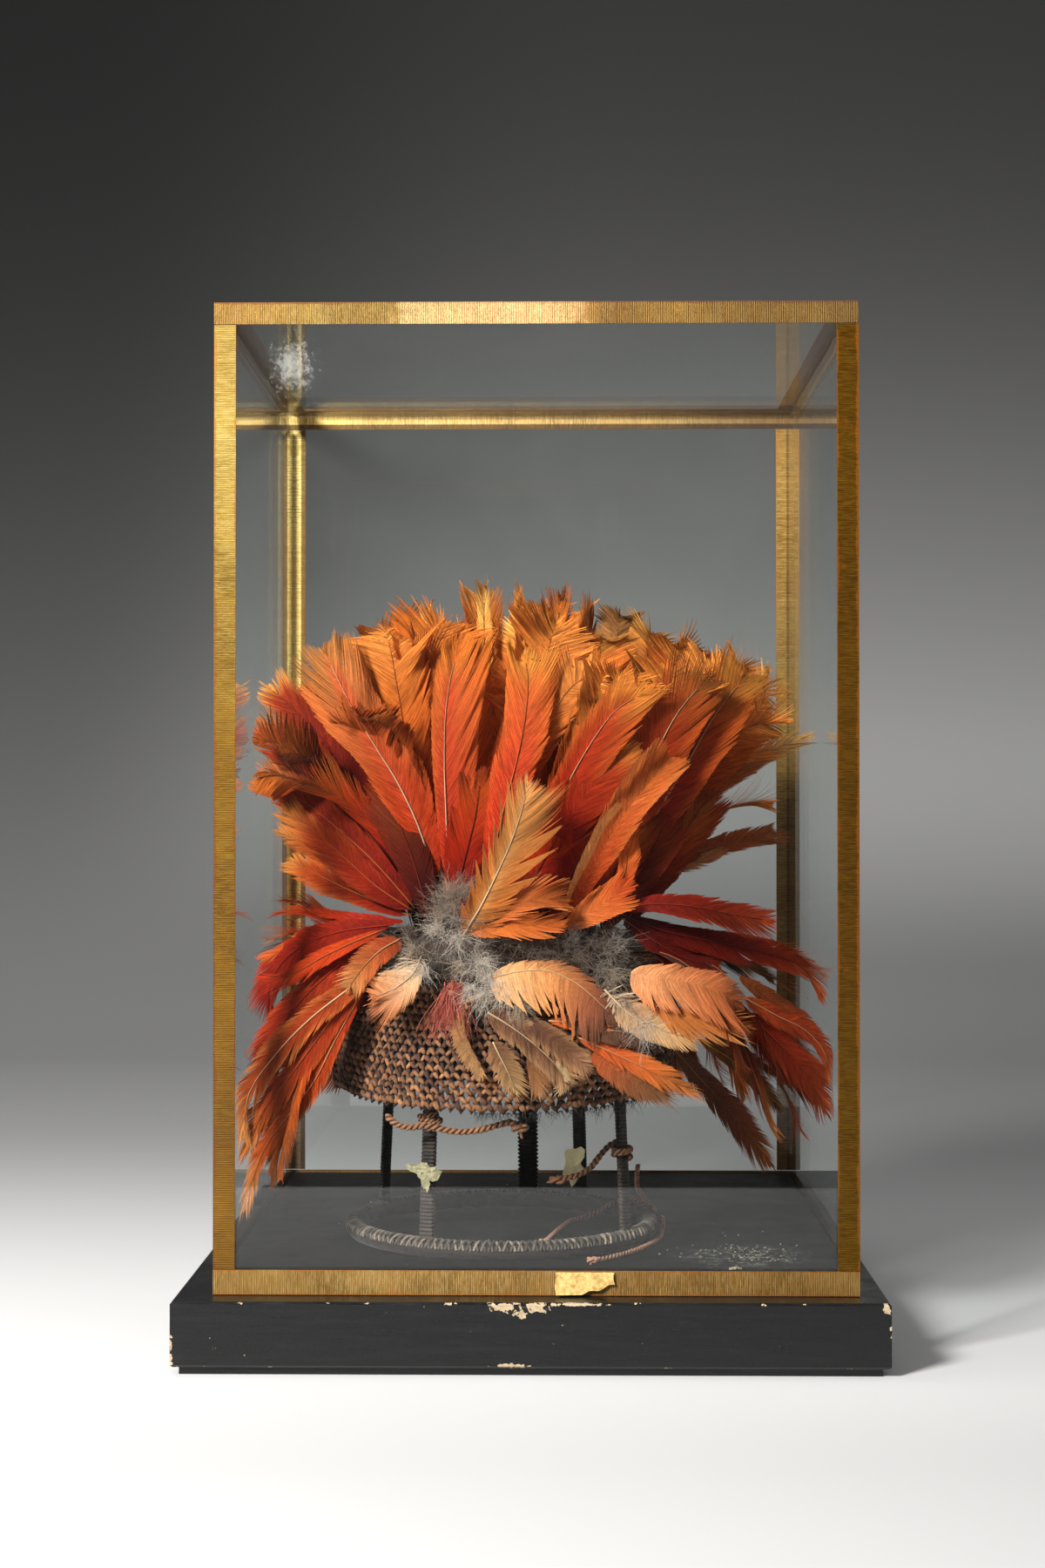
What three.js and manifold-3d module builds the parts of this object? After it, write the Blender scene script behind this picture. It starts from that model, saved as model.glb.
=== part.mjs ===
// A feathered headdress on its wrapped stand, inside a glazed display case on a black plinth.
// Millimetres, +Z up. The origin is the centre of the plinth's underside; the front of the case faces -Y.
import * as THREE from "three";
import Module from "manifold-3d";
import { mergeVertices } from "three/addons/utils/BufferGeometryUtils.js";

const wasm = await Module();
wasm.setup();

// ---------- driving dimensions ----------
const GAP = 0.3; // clearance left between pieces that touch

// plinth
const PLINTH_W = 359; // square footprint of the black block
const FOOT_W = 351; // thin board under it, set back all round
const FOOT_H = 4;
const PLINTH_TOP = 36.8;
const PLINTH_BEVEL = 1.2;

// glazed cover
const CASE_DX = 2.8; // the cover sits a little to the right on its plinth
const CASE_W = 325.2; // outside of the glass, square in plan
const GLASS_T = 3;
const GLASS_BOTTOM = PLINTH_TOP + GAP;
const GLASS_TOP = GLASS_BOTTOM + 501.4;
const TAPE_T = 0.5;
const TAPE_GAP = 0.1;
const TAPE_LEG = 11; // width of the gilt tape on each side of an edge
const TAPE_FOOT = 12.4; // height of the tape round the bottom edge
const TAPE_BUTT = 0.4; // slit where one strip butts against another

// raised floor inside the cover
const FLOOR_W = 317.6;
const FLOOR_TOP = 48.3;

// headdress and stand: the axis they share
const HX = -16.7, HY = -54.6;
const RING_R = 81, RING_TUBE = 5, RING_SIDES = 8, RING_STEPS = 44;
const HOOP_R = 70, HOOP_Z = 172, HOOP_TUBE = 2.6;
const LEG_T = 3.4;

// netted cap
const CAP_WALL = 3;
const CAP_TILT = 0.085; // the rim hangs lower at the front than at the back
const CAP_SIDES = 36;

// ---------- materials ----------
const mat = (color, roughness, metalness = 0, opacity = 1) =>
  new THREE.MeshStandardMaterial({ color, roughness, metalness, opacity, transparent: opacity < 1, side: THREE.FrontSide });
const M = {
  black: mat(0x0d0d0e, 0.38),
  floor: mat(0x17181a, 0.6),
  glass: mat(0xdfe8e4, 0.03, 0, 0.12),
  gilt: mat(0xa8802c, 0.42, 0.55),
  cane: mat(0x2b211d, 0.75),
  fibre: mat(0x7a4f38, 0.9),
  string: mat(0x8d6654, 0.9),
  hair: mat(0x5d544c, 1),
  plumeHigh: mat(0xc65a28, 0.7),
  plumeLow: mat(0xb9431d, 0.7),
  plumePale: mat(0xd99a62, 0.75),
  tassel: mat(0xa8443a, 0.8),
};

const root = new THREE.Group();
const add = (name, geometry, material, parent = root) => {
  const mesh = new THREE.Mesh(geometry, material);
  mesh.name = name;
  parent.add(mesh);
  return mesh;
};

// ---------- helpers ----------
function toSolid(geometry) {
  const g = geometry.index ? geometry.toNonIndexed() : geometry.clone();
  const only = new THREE.BufferGeometry().setAttribute("position", g.getAttribute("position"));
  const merged = mergeVertices(only, 1e-3);
  return new wasm.Manifold(new wasm.Mesh({
    numProp: 3,
    vertProperties: merged.attributes.position.array,
    triVerts: new Uint32Array(merged.index.array),
  }));
}
function fromSolid(solid) {
  const m = solid.getMesh(), v = new Float32Array(m.numVert * 3);
  for (let i = 0; i < m.numVert; i++) v.set(m.vertProperties.subarray(i * m.numProp, i * m.numProp + 3), i * 3);
  return new THREE.BufferGeometry()
    .setAttribute("position", new THREE.BufferAttribute(v, 3))
    .setIndex(new THREE.BufferAttribute(m.triVerts, 1));
}
// a box between two opposite corners
function boxFrom([x0, y0, z0], [x1, y1, z1]) {
  const g = new THREE.BoxGeometry(x1 - x0, y1 - y0, z1 - z0);
  g.translate((x0 + x1) / 2, (y0 + y1) / 2, (z0 + z1) / 2);
  return g;
}
const joined = (a, b) => fromSolid(toSolid(a).add(toSolid(b)));
// a square slab with its edges bevelled all round
function slab(width, z0, z1, bevel) {
  const h = width / 2 - bevel;
  const s = new THREE.Shape([new THREE.Vector2(-h, -h), new THREE.Vector2(h, -h), new THREE.Vector2(h, h), new THREE.Vector2(-h, h)]);
  const g = new THREE.ExtrudeGeometry(s, { depth: z1 - z0 - 2 * bevel, bevelEnabled: true, bevelSize: bevel, bevelThickness: bevel, bevelSegments: 1 });
  g.translate(0, 0, z0 + bevel);
  return g;
}
function tubeAlong(points, radius, steps, sides = 8) {
  const section = new THREE.Shape();
  for (let i = 0; i < sides; i++) {
    const a = (i * 2 * Math.PI) / sides;
    section[i ? "lineTo" : "moveTo"](radius * Math.cos(a), radius * Math.sin(a));
  }
  section.closePath();
  const path = new THREE.CatmullRomCurve3(points.map((p) => new THREE.Vector3(...p)), false, "centripetal");
  return new THREE.ExtrudeGeometry(section, { steps, extrudePath: path });
}
const around = (az) => [Math.cos((az * Math.PI) / 180), Math.sin((az * Math.PI) / 180)];

// ---------- plinth ----------
add("plinth_foot", boxFrom([-FOOT_W / 2, -FOOT_W / 2, 0], [FOOT_W / 2, FOOT_W / 2, FOOT_H]), M.black);
add("plinth_block", slab(PLINTH_W, FOOT_H + 0.1, PLINTH_TOP, PLINTH_BEVEL), M.black);

const cover = new THREE.Group();
cover.position.set(CASE_DX, 0, 0);
root.add(cover);
add("floor_panel", boxFrom([-FLOOR_W / 2, -FLOOR_W / 2, PLINTH_TOP + 0.1], [FLOOR_W / 2, FLOOR_W / 2, FLOOR_TOP]), M.floor, cover);

// ---------- glazed cover ----------
const OUT = CASE_W / 2, IN = OUT - GLASS_T;
const SIDE_TOP = GLASS_TOP - GLASS_T - GAP; // the top pane lies on the four walls
add("pane_front", boxFrom([-OUT, -OUT, GLASS_BOTTOM], [OUT, -IN, SIDE_TOP]), M.glass, cover);
add("pane_back", boxFrom([-OUT, IN, GLASS_BOTTOM], [OUT, OUT, SIDE_TOP]), M.glass, cover);
add("pane_left", boxFrom([-OUT, -IN + GAP, GLASS_BOTTOM], [-IN, IN - GAP, SIDE_TOP]), M.glass, cover);
add("pane_right", boxFrom([IN, -IN + GAP, GLASS_BOTTOM], [OUT, IN - GAP, SIDE_TOP]), M.glass, cover);
add("pane_top", boxFrom([-OUT, -OUT, GLASS_TOP - GLASS_T], [OUT, OUT, GLASS_TOP]), M.glass, cover);

// gilt tape: each strip is one folded piece with a leg on each of the two panes that meet
const TI = OUT + TAPE_GAP, TO = TI + TAPE_T; // inner and outer face of the tape
const TZ = GLASS_TOP + TAPE_GAP, TZO = TZ + TAPE_T;
const LEG_IN = OUT - TAPE_LEG + TAPE_T; // where a leg ends on a pane
const TOP_DOWN = GLASS_TOP - TAPE_LEG + TAPE_T; // how far the top strips come down a wall
const FOOT_UP = GLASS_BOTTOM + TAPE_FOOT;
for (const [name, sy] of [["tape_top_front", -1], ["tape_top_back", 1]]) {
  const wall = boxFrom([-TO, Math.min(sy * TI, sy * TO), TOP_DOWN], [TO, Math.max(sy * TI, sy * TO), TZO]);
  const roof = boxFrom([-TO, Math.min(sy * LEG_IN, sy * TO), TZ], [TO, Math.max(sy * LEG_IN, sy * TO), TZO]);
  add(name, joined(wall, roof), M.gilt, cover);
}
for (const [name, sx] of [["tape_top_left", -1], ["tape_top_right", 1]]) {
  const y = LEG_IN - TAPE_BUTT;
  const wall = boxFrom([Math.min(sx * TI, sx * TO), -y, TOP_DOWN], [Math.max(sx * TI, sx * TO), y, TZO]);
  const roof = boxFrom([Math.min(sx * LEG_IN, sx * TO), -y, TZ], [Math.max(sx * LEG_IN, sx * TO), y, TZO]);
  add(name, joined(wall, roof), M.gilt, cover);
}
for (const [name, sx, sy] of [["tape_front_left", -1, -1], ["tape_front_right", 1, -1], ["tape_back_left", -1, 1], ["tape_back_right", 1, 1]]) {
  const span = (s, a, b) => [Math.min(s * a, s * b), Math.max(s * a, s * b)];
  const [fx0, fx1] = span(sx, LEG_IN, TO), [fy0, fy1] = span(sy, TI, TO);
  const [gx0, gx1] = span(sx, TI, TO), [gy0, gy1] = span(sy, LEG_IN, TO);
  const face = boxFrom([fx0, fy0, FOOT_UP + TAPE_BUTT], [fx1, fy1, TOP_DOWN - TAPE_BUTT]);
  const flank = boxFrom([gx0, gy0, FOOT_UP + TAPE_BUTT], [gx1, gy1, TOP_DOWN - TAPE_BUTT]);
  add(name, joined(face, flank), M.gilt, cover);
}
for (const [name, sy] of [["tape_foot_front", -1], ["tape_foot_back", 1]])
  add(name, boxFrom([-TO, Math.min(sy * TI, sy * TO), GLASS_BOTTOM], [TO, Math.max(sy * TI, sy * TO), FOOT_UP]), M.gilt, cover);
for (const [name, sx] of [["tape_foot_left", -1], ["tape_foot_right", 1]])
  add(name, boxFrom([Math.min(sx * TI, sx * TO), -TI + 0.2, GLASS_BOTTOM], [Math.max(sx * TI, sx * TO), TI - 0.2, FOOT_UP]), M.gilt, cover);

// ---------- stand ----------
const crown = new THREE.Group(); // everything on the headdress axis
crown.position.set(HX, HY, 0);
root.add(crown);

function hoop(radius, tube, z, sides, steps) {
  const profile = [];
  for (let i = 0; i <= sides; i++) {
    const a = -(i * 2 * Math.PI) / sides;
    profile.push(new THREE.Vector2(radius + tube * Math.cos(a), tube * Math.sin(a)));
  }
  const g = new THREE.LatheGeometry(profile.reverse(), steps);
  g.rotateX(Math.PI / 2);
  g.translate(0, 0, z);
  return g;
}
const RING_Z = FLOOR_TOP + GAP + RING_TUBE;
add("stand_ring", hoop(RING_R, RING_TUBE, RING_Z, RING_SIDES, RING_STEPS), M.cane, crown);
add("stand_hoop", hoop(HOOP_R, HOOP_TUBE, HOOP_Z, 6, 28), M.cane, crown);

// legs: azimuth round the ring in degrees (0 right, 90 back, 270 front) and width of the flat bar
const LEGS = [
  { name: "leg_front_left", az: 242.3, width: 8.6 },
  { name: "leg_front_right", az: 325.3, width: 8.6 },
  { name: "leg_back_right", az: 57.0, width: 8.6 },
  { name: "leg_back_middle", az: 80.5, width: 12.4 },
  { name: "leg_back_left", az: 147.6, width: 8.2 },
];
const LEG_FOOT_Z = RING_Z + RING_TUBE + GAP, LEG_HEAD_Z = HOOP_Z + 6;
for (const { name, az, width } of LEGS) {
  const height = LEG_HEAD_Z - LEG_FOOT_Z;
  const g = new THREE.BoxGeometry(LEG_T, width, height, 1, 1, 3);
  const p = g.attributes.position;
  const headR = HOOP_R + HOOP_TUBE + LEG_T / 2 + GAP;
  for (let i = 0; i < p.count; i++) {
    const t = p.getZ(i) / height + 0.5;
    p.setX(i, p.getX(i) + RING_R + (headR - RING_R) * t);
    p.setZ(i, LEG_FOOT_Z + t * height);
  }
  g.rotateZ((az * Math.PI) / 180);
  add(name, g, M.cane, crown);
}

// ---------- netted cap ----------
// outside of the cap: radius at each height
const CAP_PROFILE = [
  { z: 228.0, r: 0 }, { z: 226.8, r: 18 }, { z: 223.0, r: 36 }, { z: 216.0, r: 52 }, { z: 206.5, r: 65 },
  { z: 195.0, r: 76.5 }, { z: 181.0, r: 85.5 }, { z: 166.0, r: 91 }, { z: 150.0, r: 93.3 }, { z: 135.5, r: 92 },
];
const capTilt = (y, z) => CAP_TILT * y * Math.min(1, Math.max(0, (228 - z) / 78));
{
  const outer = CAP_PROFILE.map(({ z, r }) => new THREE.Vector2(r, z));
  const inner = CAP_PROFILE.map(({ z, r }, i) => {
    const a = CAP_PROFILE[Math.max(0, i - 1)], b = CAP_PROFILE[Math.min(CAP_PROFILE.length - 1, i + 1)];
    const n = new THREE.Vector2(a.z - b.z, b.r - a.r).normalize(); // outward normal of the profile
    return i === 0 ? new THREE.Vector2(0, z - CAP_WALL) : new THREE.Vector2(r - n.x * CAP_WALL, i === CAP_PROFILE.length - 1 ? z : z - n.y * CAP_WALL);
  });
  const g = new THREE.LatheGeometry([...outer, ...inner.reverse()].reverse(), CAP_SIDES);
  g.rotateX(Math.PI / 2);
  const p = g.attributes.position;
  for (let i = 0; i < p.count; i++) p.setZ(i, p.getZ(i) + capTilt(p.getY(i), p.getZ(i)));
  add("netted_cap", g, M.fibre, crown);
}
// dark down and hair bound round the cap where the feathers start
{
  const profile = [[63.5, 212.5], [70.5, 214], [77, 206], [80.5, 197.5], [77.6, 196.6], [71, 204.5]].map(([r, z]) => new THREE.Vector2(r + 0.4, z));
  profile.push(profile[0].clone());
  const g = new THREE.LatheGeometry(profile.reverse(), CAP_SIDES);
  g.rotateX(Math.PI / 2);
  const p = g.attributes.position;
  for (let i = 0; i < p.count; i++) p.setZ(i, p.getZ(i) + capTilt(p.getY(i), p.getZ(i)));
  add("hair_band", g, M.hair, crown);
}

// ---------- plumes ----------
// A plume is a bunch of feathers, and its solid is the bunch's outer form: a thin blade on a bent centreline.
const BLADE_T = 2.2;
// half-width along a plume as a share of its greatest: { at: share of the length, half }
const BLADE_FORM = [
  { at: 0, half: 0.16 }, { at: 0.12, half: 0.3 }, { at: 0.3, half: 0.62 }, { at: 0.5, half: 0.88 },
  { at: 0.7, half: 1 }, { at: 0.86, half: 0.86 }, { at: 0.96, half: 0.5 }, { at: 1, half: 0.14 },
];
function blade({ a, m, b, width, face }) {
  const A = new THREE.Vector3(...a), Mid = new THREE.Vector3(...m), B = new THREE.Vector3(...b);
  const curve = new THREE.QuadraticBezierCurve3(A, Mid, B);
  const left = BLADE_FORM.map(({ at, half }) => new THREE.Vector2(at, half));
  const right = BLADE_FORM.map(({ at, half }) => new THREE.Vector2(at, -half)).reverse();
  const g = new THREE.ExtrudeGeometry(new THREE.Shape([...right, ...left]), { depth: 1, bevelEnabled: false });
  const p = g.attributes.position, F = new THREE.Vector3(...face);
  for (let i = 0; i < p.count; i++) {
    const t = p.getX(i), v = p.getY(i), w = p.getZ(i) - 0.5;
    const T = curve.getTangent(t), S = new THREE.Vector3().crossVectors(T, F).normalize(), N = new THREE.Vector3().crossVectors(S, T).normalize();
    const at = curve.getPoint(t).addScaledVector(S, (-v * width) / 2).addScaledVector(N, w * BLADE_T);
    p.setXYZ(i, at.x, at.y, at.z);
  }
  return g;
}
// crown plumes: root and tip azimuth, radius and height of the tip, outward bow of the centreline, width
const CROWN_ROOT = { r: 44, z: 226.5 };
const CROWN = [
  { name: "crown_plume_01", root: 204, tip: 199, reach: 128, top: 322, bow: 0.15, width: 42 },
  { name: "crown_plume_02", root: 228, tip: 219, reach: 112, top: 364, bow: 0.1, width: 44 },
  { name: "crown_plume_03", root: 250, tip: 243, reach: 84, top: 376, bow: 0.08, width: 35 },
  { name: "crown_plume_04", root: 276, tip: 279, reach: 78, top: 370, bow: 0.08, width: 35 },
  { name: "crown_plume_05", root: 301, tip: 311, reach: 94, top: 364, bow: 0.1, width: 40 },
  { name: "crown_plume_06", root: 322, tip: 335, reach: 122, top: 356, bow: 0.12, width: 44 },
  { name: "crown_plume_07", root: 347, tip: 355, reach: 146, top: 340, bow: 0.14, width: 44 },
  { name: "crown_plume_08", root: 11, tip: 15, reach: 156, top: 308, bow: 0.16, width: 40 },
  { name: "crown_plume_09", root: 36, tip: 35, reach: 118, top: 366, bow: 0.12, width: 46 },
  { name: "crown_plume_10", root: 62, tip: 61, reach: 96, top: 388, bow: 0.1, width: 42 },
  { name: "crown_plume_11", root: 91, tip: 92, reach: 92, top: 396, bow: 0.1, width: 42 },
  { name: "crown_plume_12", root: 118, tip: 119, reach: 104, top: 384, bow: 0.1, width: 46 },
  { name: "crown_plume_13", root: 145, tip: 146, reach: 128, top: 352, bow: 0.12, width: 44 },
  { name: "crown_plume_14", root: 174, tip: 172, reach: 134, top: 318, bow: 0.15, width: 42 },
];
for (const { name, root: r0, tip, reach, top, bow, width } of CROWN) {
  const [ax, ay] = around(r0), [bx, by] = around(tip);
  const a = [ax * CROWN_ROOT.r, ay * CROWN_ROOT.r, CROWN_ROOT.z];
  const b = [bx * reach, by * reach, top];
  // the bow pulls the middle up and in, so that the plume stands first and then leans out
  const m = [(a[0] + b[0]) / 2 - bow * bx * reach, (a[1] + b[1]) / 2 - bow * by * reach, (a[2] + b[2]) / 2 + bow * (top - CROWN_ROOT.z)];
  const [fx, fy] = around((r0 + tip + (Math.abs(tip - r0) > 180 ? 360 : 0)) / 2);
  add(name, blade({ a, m, b, width, face: [fx, fy, -0.35] }), M.plumeHigh, crown);
}
// skirt plumes: root azimuth, tip azimuth, radius and height of the tip, how far the middle stands off, width
const SKIRT_ROOT = { r: 83, z: 203 };
const SKIRT = [
  { name: "skirt_plume_01", root: 170, tip: 172, reach: 132, top: 198, lift: 18, width: 32, pale: false },
  { name: "skirt_plume_02", root: 190, tip: 191, reach: 132, top: 128, lift: 34, width: 36, pale: false },
  { name: "skirt_plume_03", root: 211, tip: 206, reach: 142, top: 84, lift: 46, width: 34, pale: false },
  { name: "skirt_plume_04", root: 234, tip: 234, reach: 103, top: 152, lift: 8, width: 30, pale: true },
  { name: "skirt_plume_05", root: 259, tip: 260, reach: 100.5, top: 148, lift: 8, width: 34, pale: true },
  { name: "skirt_plume_06", root: 284, tip: 285, reach: 101, top: 150, lift: 8, width: 34, pale: true },
  { name: "skirt_plume_07", root: 308, tip: 311, reach: 108, top: 146, lift: 10, width: 32, pale: true },
  { name: "skirt_plume_08", root: 331, tip: 336, reach: 168, top: 122, lift: 40, width: 34, pale: false },
  { name: "skirt_plume_09", root: 353, tip: 356, reach: 172, top: 176, lift: 26, width: 34, pale: false },
  { name: "skirt_plume_10", root: 30, tip: 30, reach: 150, top: 128, lift: 36, width: 38, pale: false },
  { name: "skirt_plume_11", root: 82, tip: 82, reach: 146, top: 118, lift: 36, width: 42, pale: false },
  { name: "skirt_plume_12", root: 132, tip: 132, reach: 148, top: 122, lift: 36, width: 40, pale: false },
];
for (const { name, root: r0, tip, reach, top, lift, width, pale } of SKIRT) {
  const [ax, ay] = around(r0), [bx, by] = around(tip), rz = SKIRT_ROOT.z + capTilt(ay * SKIRT_ROOT.r, SKIRT_ROOT.z);
  const a = [ax * SKIRT_ROOT.r, ay * SKIRT_ROOT.r, rz];
  const b = [bx * reach, by * reach, top];
  const m = [(a[0] + b[0]) / 2 + (bx * lift) / 3, (a[1] + b[1]) / 2 + (by * lift) / 3, (a[2] + b[2]) / 2 + lift];
  add(name, blade({ a, m, b, width, face: [bx, by, 1.2] }), pale ? M.plumePale : M.plumeLow, crown);
}
// red fringe that hangs on the front of the cap
add("red_tassel", (() => {
  const g = new THREE.CylinderGeometry(3.2, 6.4, 26, 8, 2);
  g.rotateX(Math.PI / 2);
  g.scale(1, 0.45, 1);
  g.rotateX(0.1);
  const [x, y] = around(246.8);
  g.rotateZ(((246.8 - 270) * Math.PI) / 180);
  g.translate(x * 99.4, y * 99.4, 164);
  return g;
})(), M.tassel, crown);

// ---------- cords ----------
// points on the headdress axis, with heights above the plinth's underside
const RIM_CORD = { radius: 1.8, steps: 34, points: [
  [-58.5, -72.5, 122.5], [-52.5, -77.0, 118.5], [-45.5, -79.8, 117.5], [-38.0, -80.6, 118.6], [-30.0, -80.0, 116.8],
  [-21.0, -80.2, 115.4], [-11.0, -80.8, 116.2], [-1.5, -81.0, 118.6], [7.0, -81.2, 120.4], [10.5, -81.2, 117.8],
] };
const LEG_CORD = { radius: 1.7, steps: 22, points: [
  [62.5, -36.5, 104.5], [57.5, -38.0, 101.8], [52.5, -39.8, 96.5], [48.0, -41.0, 91.0], [42.0, -41.6, 87.4], [35.0, -42.0, 85.6], [30.0, -42.2, 84.6],
] };
const LOOSE_CORD = { radius: 1.3, steps: 78, points: [
  [73.5, -37.5, 92.0], [73.2, -30.0, 85.6], [73.8, -20.0, 77.6], [77.5, -6.0, 69.4], [82.4, 6.0, 62.4], [84.8, 15.0, 58.8],
  [82.5, 26.0, 58.9], [77.5, 34.5, 60.2], [71.0, 40.5, 61.3], [63.0, 43.0, 58.6], [55.5, 44.0, 54.2], [47.0, 41.0, 50.8],
  [38.5, 33.0, 49.9], [34.0, 17.0, 49.9], [30.0, 0.0, 49.9], [26.5, -18.0, 49.9], [23.3, -33.8, 49.9],
] };
const TAIL_CORD = { radius: 1.3, steps: 36, points: [
  [88.8, 13.0, 55.6], [88.8, 7.0, 52.0], [87.8, -1.0, 50.2], [86.8, -12.0, 49.9], [84.2, -24.0, 49.9], [79.8, -37.0, 49.9], [72.6, -53.0, 49.9], [61.0, -71.0, 49.9], [48.3, -84.4, 49.9],
] };
for (const [name, { points, radius, steps }] of [["rim_cord", RIM_CORD], ["leg_cord", LEG_CORD], ["loose_cord", LOOSE_CORD], ["tail_cord", TAIL_CORD]])
  add(name, tubeAlong(points, radius, steps, 8), M.string, crown);

export default root;
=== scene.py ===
import math

import bpy
import numpy as np
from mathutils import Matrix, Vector


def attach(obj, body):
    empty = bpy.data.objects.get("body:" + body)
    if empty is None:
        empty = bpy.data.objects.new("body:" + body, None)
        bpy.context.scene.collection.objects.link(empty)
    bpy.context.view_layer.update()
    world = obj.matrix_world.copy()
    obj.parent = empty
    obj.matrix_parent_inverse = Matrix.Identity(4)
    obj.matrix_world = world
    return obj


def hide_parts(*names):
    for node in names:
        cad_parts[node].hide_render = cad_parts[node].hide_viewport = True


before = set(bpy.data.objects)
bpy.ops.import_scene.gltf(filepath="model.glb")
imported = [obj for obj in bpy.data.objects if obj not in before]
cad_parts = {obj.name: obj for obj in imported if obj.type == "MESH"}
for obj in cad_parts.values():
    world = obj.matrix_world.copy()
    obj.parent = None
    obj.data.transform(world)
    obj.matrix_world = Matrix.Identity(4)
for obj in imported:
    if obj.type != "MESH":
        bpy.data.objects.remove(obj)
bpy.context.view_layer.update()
scene = bpy.context.scene

# The headdress axis and the camera, in millimetres. Everything below is worked out in millimetres and written in metres.
AX, AY = -16.7, -54.6
CAM = (13.75, -1332.6, 281.8)
FOCAL = 2658.0


def spot(px, py, y):
    """The point at depth y (millimetres from the headdress axis, back positive) that shows at px, py of a 1200 x 1800 frame."""
    k = (AY + y - CAM[1]) / FOCAL
    return np.array([(px - 640.2) * k + CAM[0], AY + y, CAM[2] - (py - 929.6) * k])


def rel(x, y, z):
    return np.array([AX + x, AY + y, z], float)


# ---------- camera ----------
cam = bpy.data.objects.new("camera", bpy.data.cameras.new("camera"))
scene.collection.objects.link(cam)
cam.data.lens = 53.16
cam.data.sensor_width = 36
cam.location = [v / 1000 for v in CAM]
cam.rotation_euler = Vector((-0.01512, 1, 0.01114)).to_track_quat("-Z", "Y").to_euler()
cam.data.clip_start, cam.data.clip_end = 0.05, 30
scene.camera = cam


# ---------- small tools ----------
def unit(v):
    v = np.asarray(v, float)
    return v / np.maximum(np.linalg.norm(v, axis=-1, keepdims=True), 1e-9)


def centripetal(points, per):
    """The smooth curve through the points, with the same spacing rule as the CAD's tubes."""
    p = [np.asarray(q, float) for q in points]
    p = [2 * p[0] - p[1]] + p + [2 * p[-1] - p[-2]]
    out = []
    for i in range(1, len(p) - 2):
        a, b, c, d = p[i - 1 : i + 3]
        t0, t1, t2 = (max(np.linalg.norm(v) ** 0.5, 1e-4) for v in (b - a, c - b, d - c))
        m1 = ((b - a) / t0 - (c - a) / (t0 + t1) + (c - b) / t1) * t1
        m2 = ((c - b) / t1 - (d - b) / (t1 + t2) + (d - c) / t2) * t1
        for s in np.linspace(0, 1, per, endpoint=False):
            out.append((2 * s**3 - 3 * s**2 + 1) * b + (s**3 - 2 * s**2 + s) * m1 + (-2 * s**3 + 3 * s**2) * c + (s**3 - s**2) * m2)
    out.append(p[-2])
    return np.array(out)


def respaced(line, n):
    s = np.concatenate([[0], np.cumsum(np.linalg.norm(np.diff(line, axis=0), axis=1))])
    return np.stack([np.interp(np.linspace(0, s[-1], n), s, line[:, k]) for k in range(3)], axis=1)


def length_of(line):
    return float(np.linalg.norm(np.diff(line, axis=0), axis=1).sum())


def frames(line, up=None):
    """Tangent, side and normal along a line, turned as little as possible."""
    t = unit(np.gradient(line, axis=0))
    first = np.asarray(up if up is not None else (0.3, 0.2, 1.0), float)
    n = [unit(first - t[0] * (first @ t[0]))]
    for k in range(1, len(t)):
        v = n[-1] - t[k] * (n[-1] @ t[k])
        n.append(unit(v))
    n = np.array(n)
    return t, np.cross(t, n), n


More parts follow.
